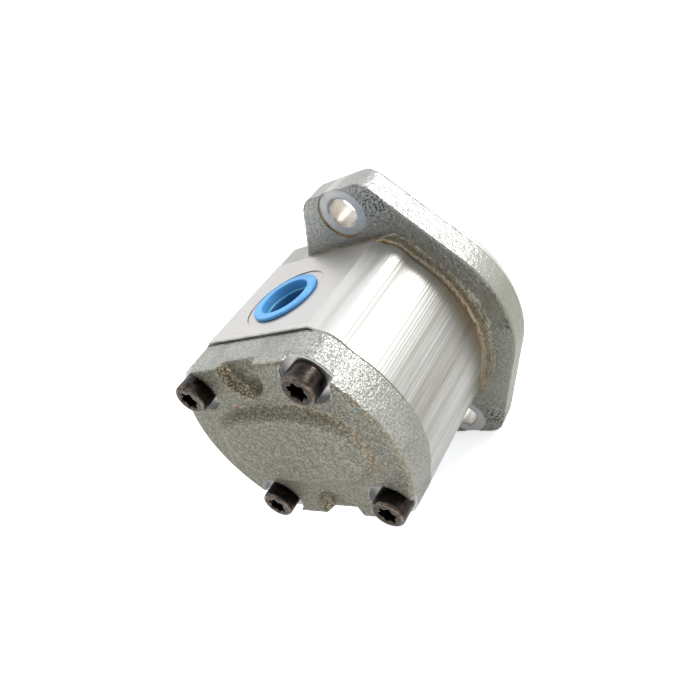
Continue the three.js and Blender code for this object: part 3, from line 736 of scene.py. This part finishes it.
def blue_plastic():
    """Moulded cap plastic, slightly mottled, with painted shade deep inside and a painted highlight on the inner
    ledge.
    """
    surface = Surface("blue_plastic", metallic=0.0, specular=0.4)
    surface.shader.inputs["Subsurface Weight"].default_value = 0.15
    surface.shader.inputs["Subsurface Radius"].default_value = (0.001, 0.002, 0.004)
    clouds = surface.noise(5, detail=3)
    fine = surface.noise(0.4, detail=2)
    depth = surface.attribute("depth")
    colour = surface.blend(surface.range(clouds, 0.35, 0.65), (0.085, 0.33, 0.66), (0.11, 0.38, 0.74))
    # Painted shade: the deeper inside the cap, the darker the blue.
    colour = surface.blend(depth, colour, (0.008, 0.075, 0.21))
    # Painted highlight: the inner ledge is a paler blue.
    colour = surface.blend(surface.attribute("ledge"), colour, (0.10, 0.40, 0.50))
    roughness = surface.range(fine, 0.3, 0.7, 0.34, 0.46)
    return surface.finish(colour, roughness, surface.bump(fine, 0.015))


def metal(name, dark, light, rough, grain_mm, stretch, depth_mm):
    """Bare machined metal with fine tool marks, even or in rings about the shafts."""
    surface = Surface(name, metallic=1.0)
    marks = surface.noise(grain_mm, detail=3, stretch=stretch)
    clouds = surface.noise(6, detail=3)
    colour = surface.blend(surface.range(clouds, 0.35, 0.65), dark, light)
    mark = surface.range(marks, 0.28, 0.42, 0.35, 0.0)
    colour = surface.blend(mark, colour, tuple(0.6 * value for value in dark))
    roughness = surface.range(marks, 0.3, 0.7, rough, rough + 0.14)
    return surface.finish(colour, roughness, surface.bump(marks, depth_mm))


def soft_moulding(name, dark, light, rough):
    """Moulded rubber or seal plastic with a faint skin texture."""
    surface = Surface(name, metallic=0.0, specular=0.4)
    skin = surface.noise(0.3, detail=3)
    clouds = surface.noise(3, detail=3)
    colour = surface.blend(surface.range(clouds, 0.35, 0.65), dark, light)
    roughness = surface.range(skin, 0.3, 0.7, rough, rough + 0.15)
    return surface.finish(colour, roughness, surface.bump(skin, 0.03))


ZINC = zinc_casting()
ALUMINIUM = drawn_aluminium()
SCREW_STEEL = black_oxide()
BLUE = blue_plastic()
EVEN = (1, 1, 1)
RINGS = (1, 6, 1)
GEAR_STEEL = metal("gear_steel", (0.42, 0.42, 0.43), (0.55, 0.55, 0.55), 0.2, 0.5, RINGS, 0.012)
SPRING_STEEL = metal("spring_steel", (0.20, 0.20, 0.21), (0.34, 0.34, 0.35), 0.3, 0.4, EVEN, 0.02)
BLOCK_METAL = metal("bearing_aluminium", (0.55, 0.53, 0.48), (0.66, 0.64, 0.58), 0.3, 0.5, EVEN, 0.02)
BRONZE = metal("bush_bronze", (0.42, 0.28, 0.13), (0.56, 0.40, 0.21), 0.28, 0.5, RINGS, 0.015)
RUBBER = soft_moulding("black_rubber", (0.012, 0.012, 0.013), (0.028, 0.028, 0.030), 0.5)
SEAL_PLASTIC = soft_moulding("seal_plastic", (0.66, 0.64, 0.58), (0.76, 0.74, 0.70), 0.4)
FINISH_OF_SLOT = {
    "gear_steel": GEAR_STEEL,
    "spring_steel": SPRING_STEEL,
    "bearing_aluminium": BLOCK_METAL,
    "bush_bronze": BRONZE,
    "black_rubber": RUBBER,
    "seal_plastic": SEAL_PLASTIC,
}


# ---------------- castings

def bell(values, width):
    return np.exp(-((values / width) ** 2))


def make_front_cover():
    step = 0.6
    points, faces = contour(front_cover_field, FRONT_LOW, FRONT_HIGH, step)
    x, y, z = points.T
    machined = front_machined(x, y, z)
    amount = 0.16 * np.where(machined, 0.0, 1.0)
    points = add_grain(points, front_cover_field, amount, [(2.2, 0.6), (1.1, 0.6)])
    piece = make_object("front_cover_casting", points, faces.tolist(), ZINC, turn_faces_out=False)
    on_rear = (y < FLANGE_REAR + 0.6) & (flange_section(x, z) < -1)
    pits = bell(np.hypot(x - PIT_X, np.abs(z) - PIT_Z), PIT_SPREAD) * (y < FLANGE_REAR + 1.2)
    set_attribute(piece, "machined", machined)
    set_attribute(piece, "patina", front_patina(x, y, z))
    set_attribute(piece, "coarse", np.where(on_rear, 0.2, 0.22))
    set_attribute(piece, "grainy", np.where(on_rear, 0.9, 0.65))
    # Painted shade on the lower half and, on the flange's rear face, round the neck.
    set_attribute(piece, "painted_shade", front_painted_shade(x, z, on_rear))
    set_attribute(piece, "pitted", np.where(on_rear, 0.25, 0.12) + 0.75 * pits)
    place(piece, "front_cover")


def front_machined(x, y, z):
    """Mounting face, pilot, seats, bores and the joint to the body."""
    in_seat = bolt_seat(x, z) < 0.1
    at_joint = y < FRONT_LOW[1] + 0.1
    in_bores = (disc(x, z, (DRIVE_X, 0), PILOT_RADIUS + 0.2) < 0) & (y > FLANGE_REAR + 1)
    return (y > -0.4) | in_seat | at_joint | in_bores


def front_patina(x, y, z):
    """Golden tint on the edges of the neck and the collar and round the seats, and painted shade in a golden tone
    on the left of each bolt hole's wall.
    """
    neck_edge = bell(neck_section(x, z) + 0.2, 1.0) * (y < FLANGE_REAR - 0.4)
    collar = bell(collar_section(x, z) + 1.2, 2.2) * (y < FLANGE_REAR + 0.4)
    edges = (0.5 * neck_edge + 0.5 * collar) * (x > MIDDLE_X - 10)
    low_left = np.clip((-(x - DRIVE_X) - (np.abs(z) - BOLT_Z)) / BOLT_SEAT_RADIUS, 0, 1)
    seat_rim = bell(bolt_seat(x, z), 0.5) * (0.2 + 0.8 * low_left) * (y < FLANGE_REAR + 2)
    # Painted shade: the left of each bolt hole's wall is tinted darker and golden.
    left = np.clip((DRIVE_X - x) / BOLT_HOLE_RADIUS, 0, 1)
    hole_shade = 0.4 * (bolt_hole(x, z) < 0.3) * left
    return np.clip(edges + 0.9 * seat_rim + hole_shade, 0, 1)


def front_painted_shade(x, z, on_rear):
    """Painted shade on the lower half and, on the flange's rear face, round the neck."""
    lower = np.clip((30 - z) / 25, 0, 1) * (x > DRIVE_X)
    near_neck = np.clip(1.2 - neck_section(x, z) / 12, 0, 1) * np.clip((x - DRIVE_X) / 8, 0, 1)
    return np.where(on_rear, 0.25 * near_neck + 0.45 * lower, 0.72 * lower)


def make_rear_cover():
    step = 0.5
    points, faces = contour(rear_cover_field, COVER_LOW, COVER_HIGH, step)
    x, y, z = points.T
    machined = rear_machined(x, y, z)
    on_side = np.clip(1 + cover_section(x, z) / 1.5, 0, 1)
    amount = np.where(machined, 0, 0.04 + 0.10 * on_side)
    points = add_grain(points, rear_cover_field, amount, [(2.0, 0.5), (1.0, 0.6)])
    piece = make_object("rear_cover_casting", points, faces.tolist(), ZINC, turn_faces_out=False)
    right = np.clip((x - MIDDLE_X) / 25, 0, 1)
    lower = np.clip((28 - z) / 20, 0, 1) * (x > MIDDLE_X)
    # Painted shade: all of the rear face, a little less to the right, and the rim, more towards the bottom on the
    # right.
    painted_shade_tone = (1 - on_side) * (1 - 0.2 * right) + on_side * (0.12 + 0.34 * lower)
    set_attribute(piece, "machined", machined)
    set_attribute(piece, "patina", rear_patina(x, y, z, right))
    set_attribute(piece, "coarse", 0.16 + 0.36 * on_side)
    set_attribute(piece, "grainy", 1.3 - 0.1 * on_side)
    set_attribute(piece, "painted_shade", painted_shade_tone)
    set_attribute(piece, "pitted", 0.52 - 0.22 * on_side + 0.3 * left_pocket_walls(x, y, z))
    place(piece, "rear_cover")


def rear_machined(x, y, z):
    """Screw seats and the joint to the body."""
    seats = np.min([disc(x, z, centre, SEAT_RADIUS) for centre in SCREW_CENTRES], axis=0)
    return (seats < 0.15) & (y < SEAT_Y + 0.4) | (y > COVER_HIGH[1] - 0.1)


def rear_patina(x, y, z, right):
    """Golden tint on the rear edge and the pad's wall to the right, and on the left pocket walls."""
    rear_edge = bell(cover_section(x, z) + 0.9, 0.8) * bell(y - COVER_REAR - 0.5, 0.8) * right
    pad_wall = bell(pad_section(x, z) - 0.6, 1.6) * (y < COVER_REAR + 1) * right
    return np.clip(0.5 * rear_edge + 0.55 * pad_wall + 0.55 * left_pocket_walls(x, y, z), 0, 1)


def left_pocket_walls(x, y, z):
    return bell(edge_pockets(x, y, z), 0.8) * (x < MIDDLE_X) * (y < POCKET_FLOOR - 0.3)


# ---------------- extruded body

def body_outline(sides):
    """Radius of the body's outline about its middle in evenly spaced directions, by bisection."""
    angles = circle_angles(sides)
    low, high = np.zeros(sides), np.full(sides, 2 * BODY_RADIUS)
    for _ in range(40):
        radius = (low + high) / 2
        x, z = MIDDLE_X + radius * np.cos(angles), radius * np.sin(angles)
        inside = housing_section(x, z, BODY_RADIUS, BODY_FLAT, 1e-3) < 0
        low, high = np.where(inside, radius, low), np.where(inside, high, radius)
    return low


def die_lines(sides, outline):
    """Shallow ridges that the extrusion die leaves; none on the milled port faces."""
    ridge, inset = 0.0045, 0.05
    chance = np.random.default_rng(SEED)
    angles = circle_angles(sides)
    height = np.zeros(sides)
    for waves in chance.integers(30, 300, 40):
        height += np.cos(waves * angles + chance.uniform(0, 2 * math.pi))
    height *= ridge * (0.2 + 0.8 * np.cos(angles) ** 2)
    on_port_face = np.abs(outline * np.sin(angles)) > BODY_FLAT - 0.02
    return np.where(on_port_face, 0, height - inset)


def port_cutter(node, sides=96):
    """Threaded port with its spotface, chamfer and the passage on to the gears."""
    low, high = box_mm(node)
    centre = ((low + high) / 2)[:2]
    side = 1 if high[2] > 0 else -1
    rim = (high[0] - low[0]) / 2
    thread, spotface, passage = rim - 2.8, rim + 3.2, rim - 5.8
    thread_length, pitch, spotface_depth = 17, 1.8, 0.4
    top = BODY_FLAT
    bottom, seat = top - thread_length, top - spotface_depth
    profile = [(passage, 0), (passage, bottom), (thread, bottom)]
    turn = bottom + 0.6
    while turn < top - 2.6:
        profile += [(thread, turn), (thread + 0.5, turn + 0.5), (thread, turn + 1.0)]
        turn += pitch
    profile += [(thread, top - 2), (thread + 1.6, seat), (spotface, seat), (spotface, top + 1)]
    rings = [ring_along_z(radius, side * z, centre, sides) for radius, z in profile]
    return make_object("port_cutter", *loft(rings), ALUMINIUM)


def round_cutter(centre, radius, low, high, sides=64):
    rings = [ring_along_y(radius, y, centre, sides) for y in (low, high)]
    return make_object("round_cutter", *loft(rings), ALUMINIUM)


def make_body():
    sides = 1440
    outline = body_outline(sides)
    outline += die_lines(sides, outline)
    chamfer = 0.4
    low, high = BODY_LOW[1], BODY_HIGH[1]
    stations = [(low, chamfer), (low + chamfer, 0), (high - chamfer, 0), (high, chamfer)]
    rings = [ring_along_y(outline - inset, y, (MIDDLE_X, 0), sides) for y, inset in stations]
    piece = make_object("pump_body_extrusion", *loft(rings), ALUMINIUM)
    cutters = [port_cutter(node) for node in PLUG_NODES]
    for x in (DRIVE_X, DRIVEN_X):
        cutters.append(round_cutter((x, 0), GEAR_BORE_RADIUS, low - 1, high + 1, 128))
    for centre in SCREW_CENTRES:
        cutters.append(round_cutter(centre, SCREW_HOLE_RADIUS, low - 1, high + 1))
    carve(piece, cutters)
    place(piece, "pump_body")


# ---------------- screws and plugs

def make_cap_screw(node):
    """Cap screw with a rounded head, a washer-like lower edge and a six-lobe drive recess."""
    sides = 96
    low, high = box_mm(node)
    centre = ((low + high) / 2)[[0, 2]]
    head = (high[0] - low[0]) / 2
    top, seat, tip = low[1], low[1] + HEAD_HEIGHT, high[1]
    stopped_at = centre.sum()
    lobes = 3.4 + 0.55 * np.cos(6 * circle_angles(sides) + stopped_at)
    profile = [
        (tip, 3.2, 0.0), (tip - 1, 4.0, 0.0), (seat + 0.4, 4.0, 0.0), (seat, 4.5, 0.0),
        (seat, head - 0.3, 0.0), (seat - 0.3, head, 0.0), (top + 1.5, head, 0.0),
        (top + 1.2, head - 0.02, 0.1), (top + 0.75, head - 0.12, 0.3), (top + 0.35, head - 0.36, 0.9),
        (top + 0.1, head - 0.75, 0.9), (top + 0.02, head - 1.15, 0.35), (top, head - 1.6, 0.1),
        (top, lobes + 0.75, 0.05), (top + 0.12, lobes + 0.3, 0.4), (top + 0.4, lobes, 0.05),
        (top + 3.6, lobes - 0.1, 0.0), (top + 4, 0.6 * lobes, 0.0), (top + 4.4, 0.15 * lobes, 0.0),
    ]
    rings = [ring_along_y(radius, y, centre, sides) for y, radius, _ in profile]
    piece = make_object(f"{node}_detailed", *loft(rings), SCREW_STEEL)
    wear = np.repeat([value for _, _, value in profile], sides)
    set_attribute(piece, "wear", np.append(wear, [0, 0]))
    place(piece, node)


def make_port_plug(node):
    """Soft cap pushed into a port: a flat rim, a thin wall with an inner ledge, a closed bottom."""
    sides = 128
    low, high = box_mm(node)
    centre = ((low + high) / 2)[:2]
    side = 1 if high[2] > 0 else -1
    rim = (high[0] - low[0]) / 2
    top = high[2] if side > 0 else -low[2]
    bottom = low[2] if side > 0 else -high[2]
    outer = rim - 2.95
    inner = outer - 0.75
    under = top - 1.4
    ledge = top - 3.75
    profile = [(0.3, bottom), (outer - 0.9, bottom), (outer - 0.1, bottom + 1)]
    rib = bottom + 2
    while rib < under - 2:
        profile += [(outer - 0.3, rib), (outer, rib + 0.5), (outer - 0.3, rib + 1.0)]
        rib += 2.2
    profile += [
        (outer - 0.1, under), (rim - 0.3, under), (rim, under + 0.4), (rim - 0.05, top - 0.35),
        (rim - 0.5, top), (inner + 0.25, top), (inner + 0.05, top - 0.3), (inner, top - 1.0),
        (inner - 0.1, ledge + 0.15), (inner - 0.4, ledge - 0.15), (inner - 0.5, ledge - 0.85),
        (inner - 1.0, bottom + 2.0), (inner - 1.7, bottom + 1.2), (0.3, bottom + 1.2),
    ]
    profile = rounded(profile, 0.18, 2)
    rings = [ring_along_z(radius, side * z, centre, sides) for radius, z in profile]
    piece = make_object(f"{node}_moulded", *loft(rings), BLUE)
    # Painted shade: the inside gets darker the deeper it lies, most below the ledge.
    reach = np.array([max(0, top - 0.6 - z) if radius < inner + 0.1 else 0 for radius, z in profile])
    below_ledge = reach > 3.5
    depth = np.repeat(np.clip(reach / 8 + 0.3 * below_ledge, 0, 1), sides)
    set_attribute(piece, "depth", np.append(depth, [0, 1]))
    # Painted highlight on the inner ledge.
    on_ledge = [radius < inner and abs(z - ledge) < 0.3 for radius, z in profile]
    set_attribute(piece, "ledge", np.append(np.repeat(on_ledge, sides), [0, 0]))
    place(piece, node)


# ---------------- gears, seal and ring

def gear_radius(angles, tooth_angle):
    """Radius of an involute gear's outline in each direction."""
    base = PITCH_RADIUS * math.cos(PRESSURE_ANGLE)
    radii = np.linspace(base, TIP_RADIUS, 24)
    pressure = np.arccos(base / radii)
    involute = np.tan(pressure) - pressure
    at_pitch = math.tan(PRESSURE_ANGLE) - PRESSURE_ANGLE
    half = math.pi / (2 * TEETH) - TOOTH_THINNING / (2 * PITCH_RADIUS) + at_pitch - involute
    pitch = 2 * math.pi / TEETH
    folded = np.abs((angles - tooth_angle + pitch / 2) % pitch - pitch / 2)
    flank = np.interp(folded, half[::-1], radii[::-1])
    return np.where(folded > half[0], ROOT_RADIUS, flank)


def spline_radius(angles):
    pitch = 2 * math.pi / SPLINE_TEETH
    folded = np.abs((angles + pitch / 2) % pitch - pitch / 2) / pitch
    height = np.clip((0.30 - folded) / 0.12, 0, 1)
    return SPLINE_ROOT_RADIUS + (SPLINE_TIP_RADIUS - SPLINE_ROOT_RADIUS) * height


def gear_stations(tooth_angle, sides):
    """The toothed middle of a gear shaft, with a small chamfer on the teeth."""
    chamfer = 0.25
    outline = gear_radius(circle_angles(sides), tooth_angle)
    low, high = GEAR_MIDDLE - GEAR_WIDTH / 2, GEAR_MIDDLE + GEAR_WIDTH / 2
    return [
        (low, JOURNAL_RADIUS), (low, outline - chamfer), (low + chamfer, outline),
        (high - chamfer, outline), (high, outline - chamfer), (high, JOURNAL_RADIUS),
    ]


def journal_end(end, inward):
    """Chamfered end of a journal with its centre hole, from the hole outwards."""
    corner = JOURNAL_RADIUS - JOURNAL_CHAMFER
    shoulder = end + inward * JOURNAL_CHAMFER
    return [(end + 2.5 * inward, 0.6), (end, 2.2), (end, corner), (shoulder, JOURNAL_RADIUS)]


def make_drive_gear():
    sides = 576
    spline = spline_radius(circle_angles(sides))
    end = SHAFT_HIGH[1]
    stations = journal_end(SHAFT_LOW[1], 1) + gear_stations(0, sides)
    stations += [
        (SEAL_HIGH[1] + 0.1, JOURNAL_RADIUS), (SEAL_HIGH[1] + 1.1, SHAFT_NECK_RADIUS),
        (SPLINE_START, SHAFT_NECK_RADIUS), (SPLINE_START + 0.2, SPLINE_TIP_RADIUS),
        (SPLINE_START + 3.2, spline), (end - 1.3, spline), (end - 0.5, np.minimum(spline, 6.9)),
        (end, np.minimum(spline, 6.0)), (end, 2.4), (end - 2.6, 0.5),
    ]
    rings = [ring_along_y(radius, y, (DRIVE_X, 0), sides) for y, radius in stations]
    piece = make_object("drive_gear_shaft_ground", *loft(rings), GEAR_STEEL)
    place(piece, "drive_gear_shaft", "drive_gear")


def make_driven_gear():
    sides = 576
    stations = journal_end(IDLER_LOW[1], 1) + gear_stations(math.pi / TEETH, sides)
    stations += journal_end(IDLER_HIGH[1], -1)[::-1]
    rings = [ring_along_y(radius, y, (DRIVEN_X, 0), sides) for y, radius in stations]
    piece = make_object("driven_gear_shaft_ground", *loft(rings), GEAR_STEEL)
    place(piece, "driven_gear_shaft", "driven_gear")


def make_shaft_seal():
    """Lip seal: a rubber-covered case with a sealing lip behind and a dust lip in front."""
    back, front, outer = SEAL_LOW[1], SEAL_HIGH[1], SEAL_HIGH[0]
    lip = JOURNAL_RADIUS + 0.3
    profile = [
        (lip + 0.9, front - 0.5), (lip + 0.15, front - 0.2), (lip + 1.6, front - 2.0), (lip, back + 1.6),
        (lip + 1.2, back + 0.3), (lip + 1.9, back + 1.0), (lip + 1.7, back + 2.4), (lip + 3, front - 2.6),
        (outer - 1.2, front - 2.6), (outer - 1.2, back), (outer, back), (outer, front - 0.5),
        (outer - 0.5, front), (outer - 1.5, front), (outer - 1.9, front - 0.5), (lip + 2.6, front - 0.5),
        (lip + 1.9, front - 0.9),
    ]
    rings = [ring_along_y(radius, y, (DRIVE_X, 0), 128) for radius, y in profile]
    piece = make_object("shaft_seal_moulded", *loft(rings, endless=True), RUBBER)
    place(piece, "shaft_seal")


def make_retaining_ring():
    points, faces = contour(retaining_ring_field, RING_LOW, RING_HIGH, 0.3)
    name = "seal_retaining_ring_stamped"
    piece = make_object(name, points, faces.tolist(), SPRING_STEEL, turn_faces_out=False)
    place(piece, "seal_retaining_ring")


def finish_inner_parts():
    """The parts inside keep their CAD shape and get their own finish."""
    for node, slot in SLOTS.items():
        if slot in FINISH_OF_SLOT:
            mesh = frame["nodes"][node].data
            mesh.materials.clear()
            mesh.materials.append(FINISH_OF_SLOT[slot])


# ---------------- studio

CAMERA_PLACE = Vector((0.1710, -0.1955, 0.1247))
CAMERA_AIM = Vector((0.0017, -0.0469, 0.0163))
CAMERA_UP = Vector((0.0943, 0.6546, 0.7501))
CAMERA_LENS = 35.33
ROOM_LOW = (0.30, 0.28, 0.25)
ROOM_HIGH = (0.50, 0.51, 0.53)
FLOOR_GAP = 0.0005
FLOOR_GLOW = 0.2
FLOOR_GLOW_SEEN = 0.6

# Suns: direction towards the source, its width in degrees, its strength.
SUNS = {
    "key_light": ((0.78, 0.55, 0.50), 70, 1.35),
    "edge_light": ((0.72, 0.60, 0.55), 14, 1.6),
    "back_light": ((-0.70, 0.60, 0.45), 80, 0.7),
    "top_light": ((-0.35, 0.05, 1.00), 100, 1.6),
}


def facing(place, aim, up):
    """Matrix that puts an object at a place, with its -Z towards the aim."""
    back = (place - aim).normalized()
    right = up.cross(back).normalized()
    turn = Matrix((right, back.cross(right), back)).transposed().to_4x4()
    return Matrix.Translation(place) @ turn


def make_camera():
    data = bpy.data.cameras.new("camera")
    data.lens = CAMERA_LENS
    data.sensor_width = 36
    data.clip_start = 0.01
    camera = bpy.data.objects.new("camera", data)
    camera.matrix_world = facing(CAMERA_PLACE, CAMERA_AIM, CAMERA_UP)
    bpy.context.scene.collection.objects.link(camera)
    bpy.context.scene.camera = camera


def sun(name, direction, angle, strength):
    """Distant source, the same all over the floor."""
    data = bpy.data.lights.new(name, "SUN")
    data.angle = math.radians(angle)
    data.energy = strength
    light = bpy.data.objects.new(name, data)
    place = Vector(direction).normalized()
    light.matrix_world = facing(place, Vector((0, 0, 0)), Vector((0, 0.1, 1)))
    bpy.context.scene.collection.objects.link(light)


def make_floor():
    """White floor. It glows more to the camera than to the pump, so that no shadow shows on it."""
    size = 6.0
    level = CAD_BOUNDS[0].z - FLOOR_GAP
    corners = [(-size, -size), (size, -size), (size, size), (-size, size)]
    mesh = bpy.data.meshes.new("studio_floor")
    mesh.from_pydata([(x, y, level) for x, y in corners], [], [(0, 1, 2, 3)])
    surface = Surface("floor_white", metallic=0.0, specular=0.0)
    clouds = surface.noise(300, detail=2)
    colour = surface.blend(clouds, (0.93, 0.93, 0.93), (0.95, 0.95, 0.95))
    surface.shader.inputs["Emission Color"].default_value = (1, 1, 1, 1)
    seen = surface.add("ShaderNodeLightPath").outputs["Is Camera Ray"]
    glow = surface.range(seen, 0, 1, FLOOR_GLOW, FLOOR_GLOW_SEEN)
    surface.feed(surface.shader.inputs["Emission Strength"], glow)
    mesh.materials.append(surface.finish(colour, 1.0, surface.bump(clouds, 0.01)))
    floor = bpy.data.objects.new("studio_floor", mesh)
    bpy.context.scene.collection.objects.link(floor)


def light_studio():
    """White backdrop, with a dimmer room that lights and reflects in the pump."""
    world = bpy.data.worlds.new("studio")
    bpy.context.scene.world = world
    world.use_nodes = True
    nodes, links = world.node_tree.nodes, world.node_tree.links
    room = nodes["Background"]
    room.inputs["Strength"].default_value = 1.0
    height = nodes.new("ShaderNodeSeparateXYZ")
    ramp = nodes.new("ShaderNodeValToRGB")
    ramp.color_ramp.elements[0].position = 0.0
    ramp.color_ramp.elements[0].color = (*ROOM_LOW, 1)
    ramp.color_ramp.elements[1].position = 0.9
    ramp.color_ramp.elements[1].color = (*ROOM_HIGH, 1)
    links.new(nodes.new("ShaderNodeTexCoord").outputs["Generated"], height.inputs[0])
    links.new(height.outputs["Z"], ramp.inputs[0])
    links.new(ramp.outputs[0], room.inputs["Color"])
    backdrop = nodes.new("ShaderNodeBackground")
    seen = nodes.new("ShaderNodeLightPath").outputs["Is Camera Ray"]
    choose = nodes.new("ShaderNodeMixShader")
    links.new(seen, choose.inputs[0])
    links.new(room.outputs[0], choose.inputs[1])
    links.new(backdrop.outputs[0], choose.inputs[2])
    backdrop.inputs["Color"].default_value = (1, 1, 1, 1)
    links.new(choose.outputs[0], nodes["World Output"].inputs["Surface"])
    for name, (direction, angle, strength) in SUNS.items():
        sun(name, direction, angle, strength)
    bpy.context.scene.view_settings.view_transform = "Standard"


# ---------------- assembly


make_camera()
make_floor()
light_studio()
finish_inner_parts()
make_front_cover()
make_body()
make_rear_cover()
for screw_node in SCREW_NODES:
    make_cap_screw(screw_node)
for plug_node in PLUG_NODES:
    make_port_plug(plug_node)
make_drive_gear()
make_driven_gear()
make_shaft_seal()
make_retaining_ring()
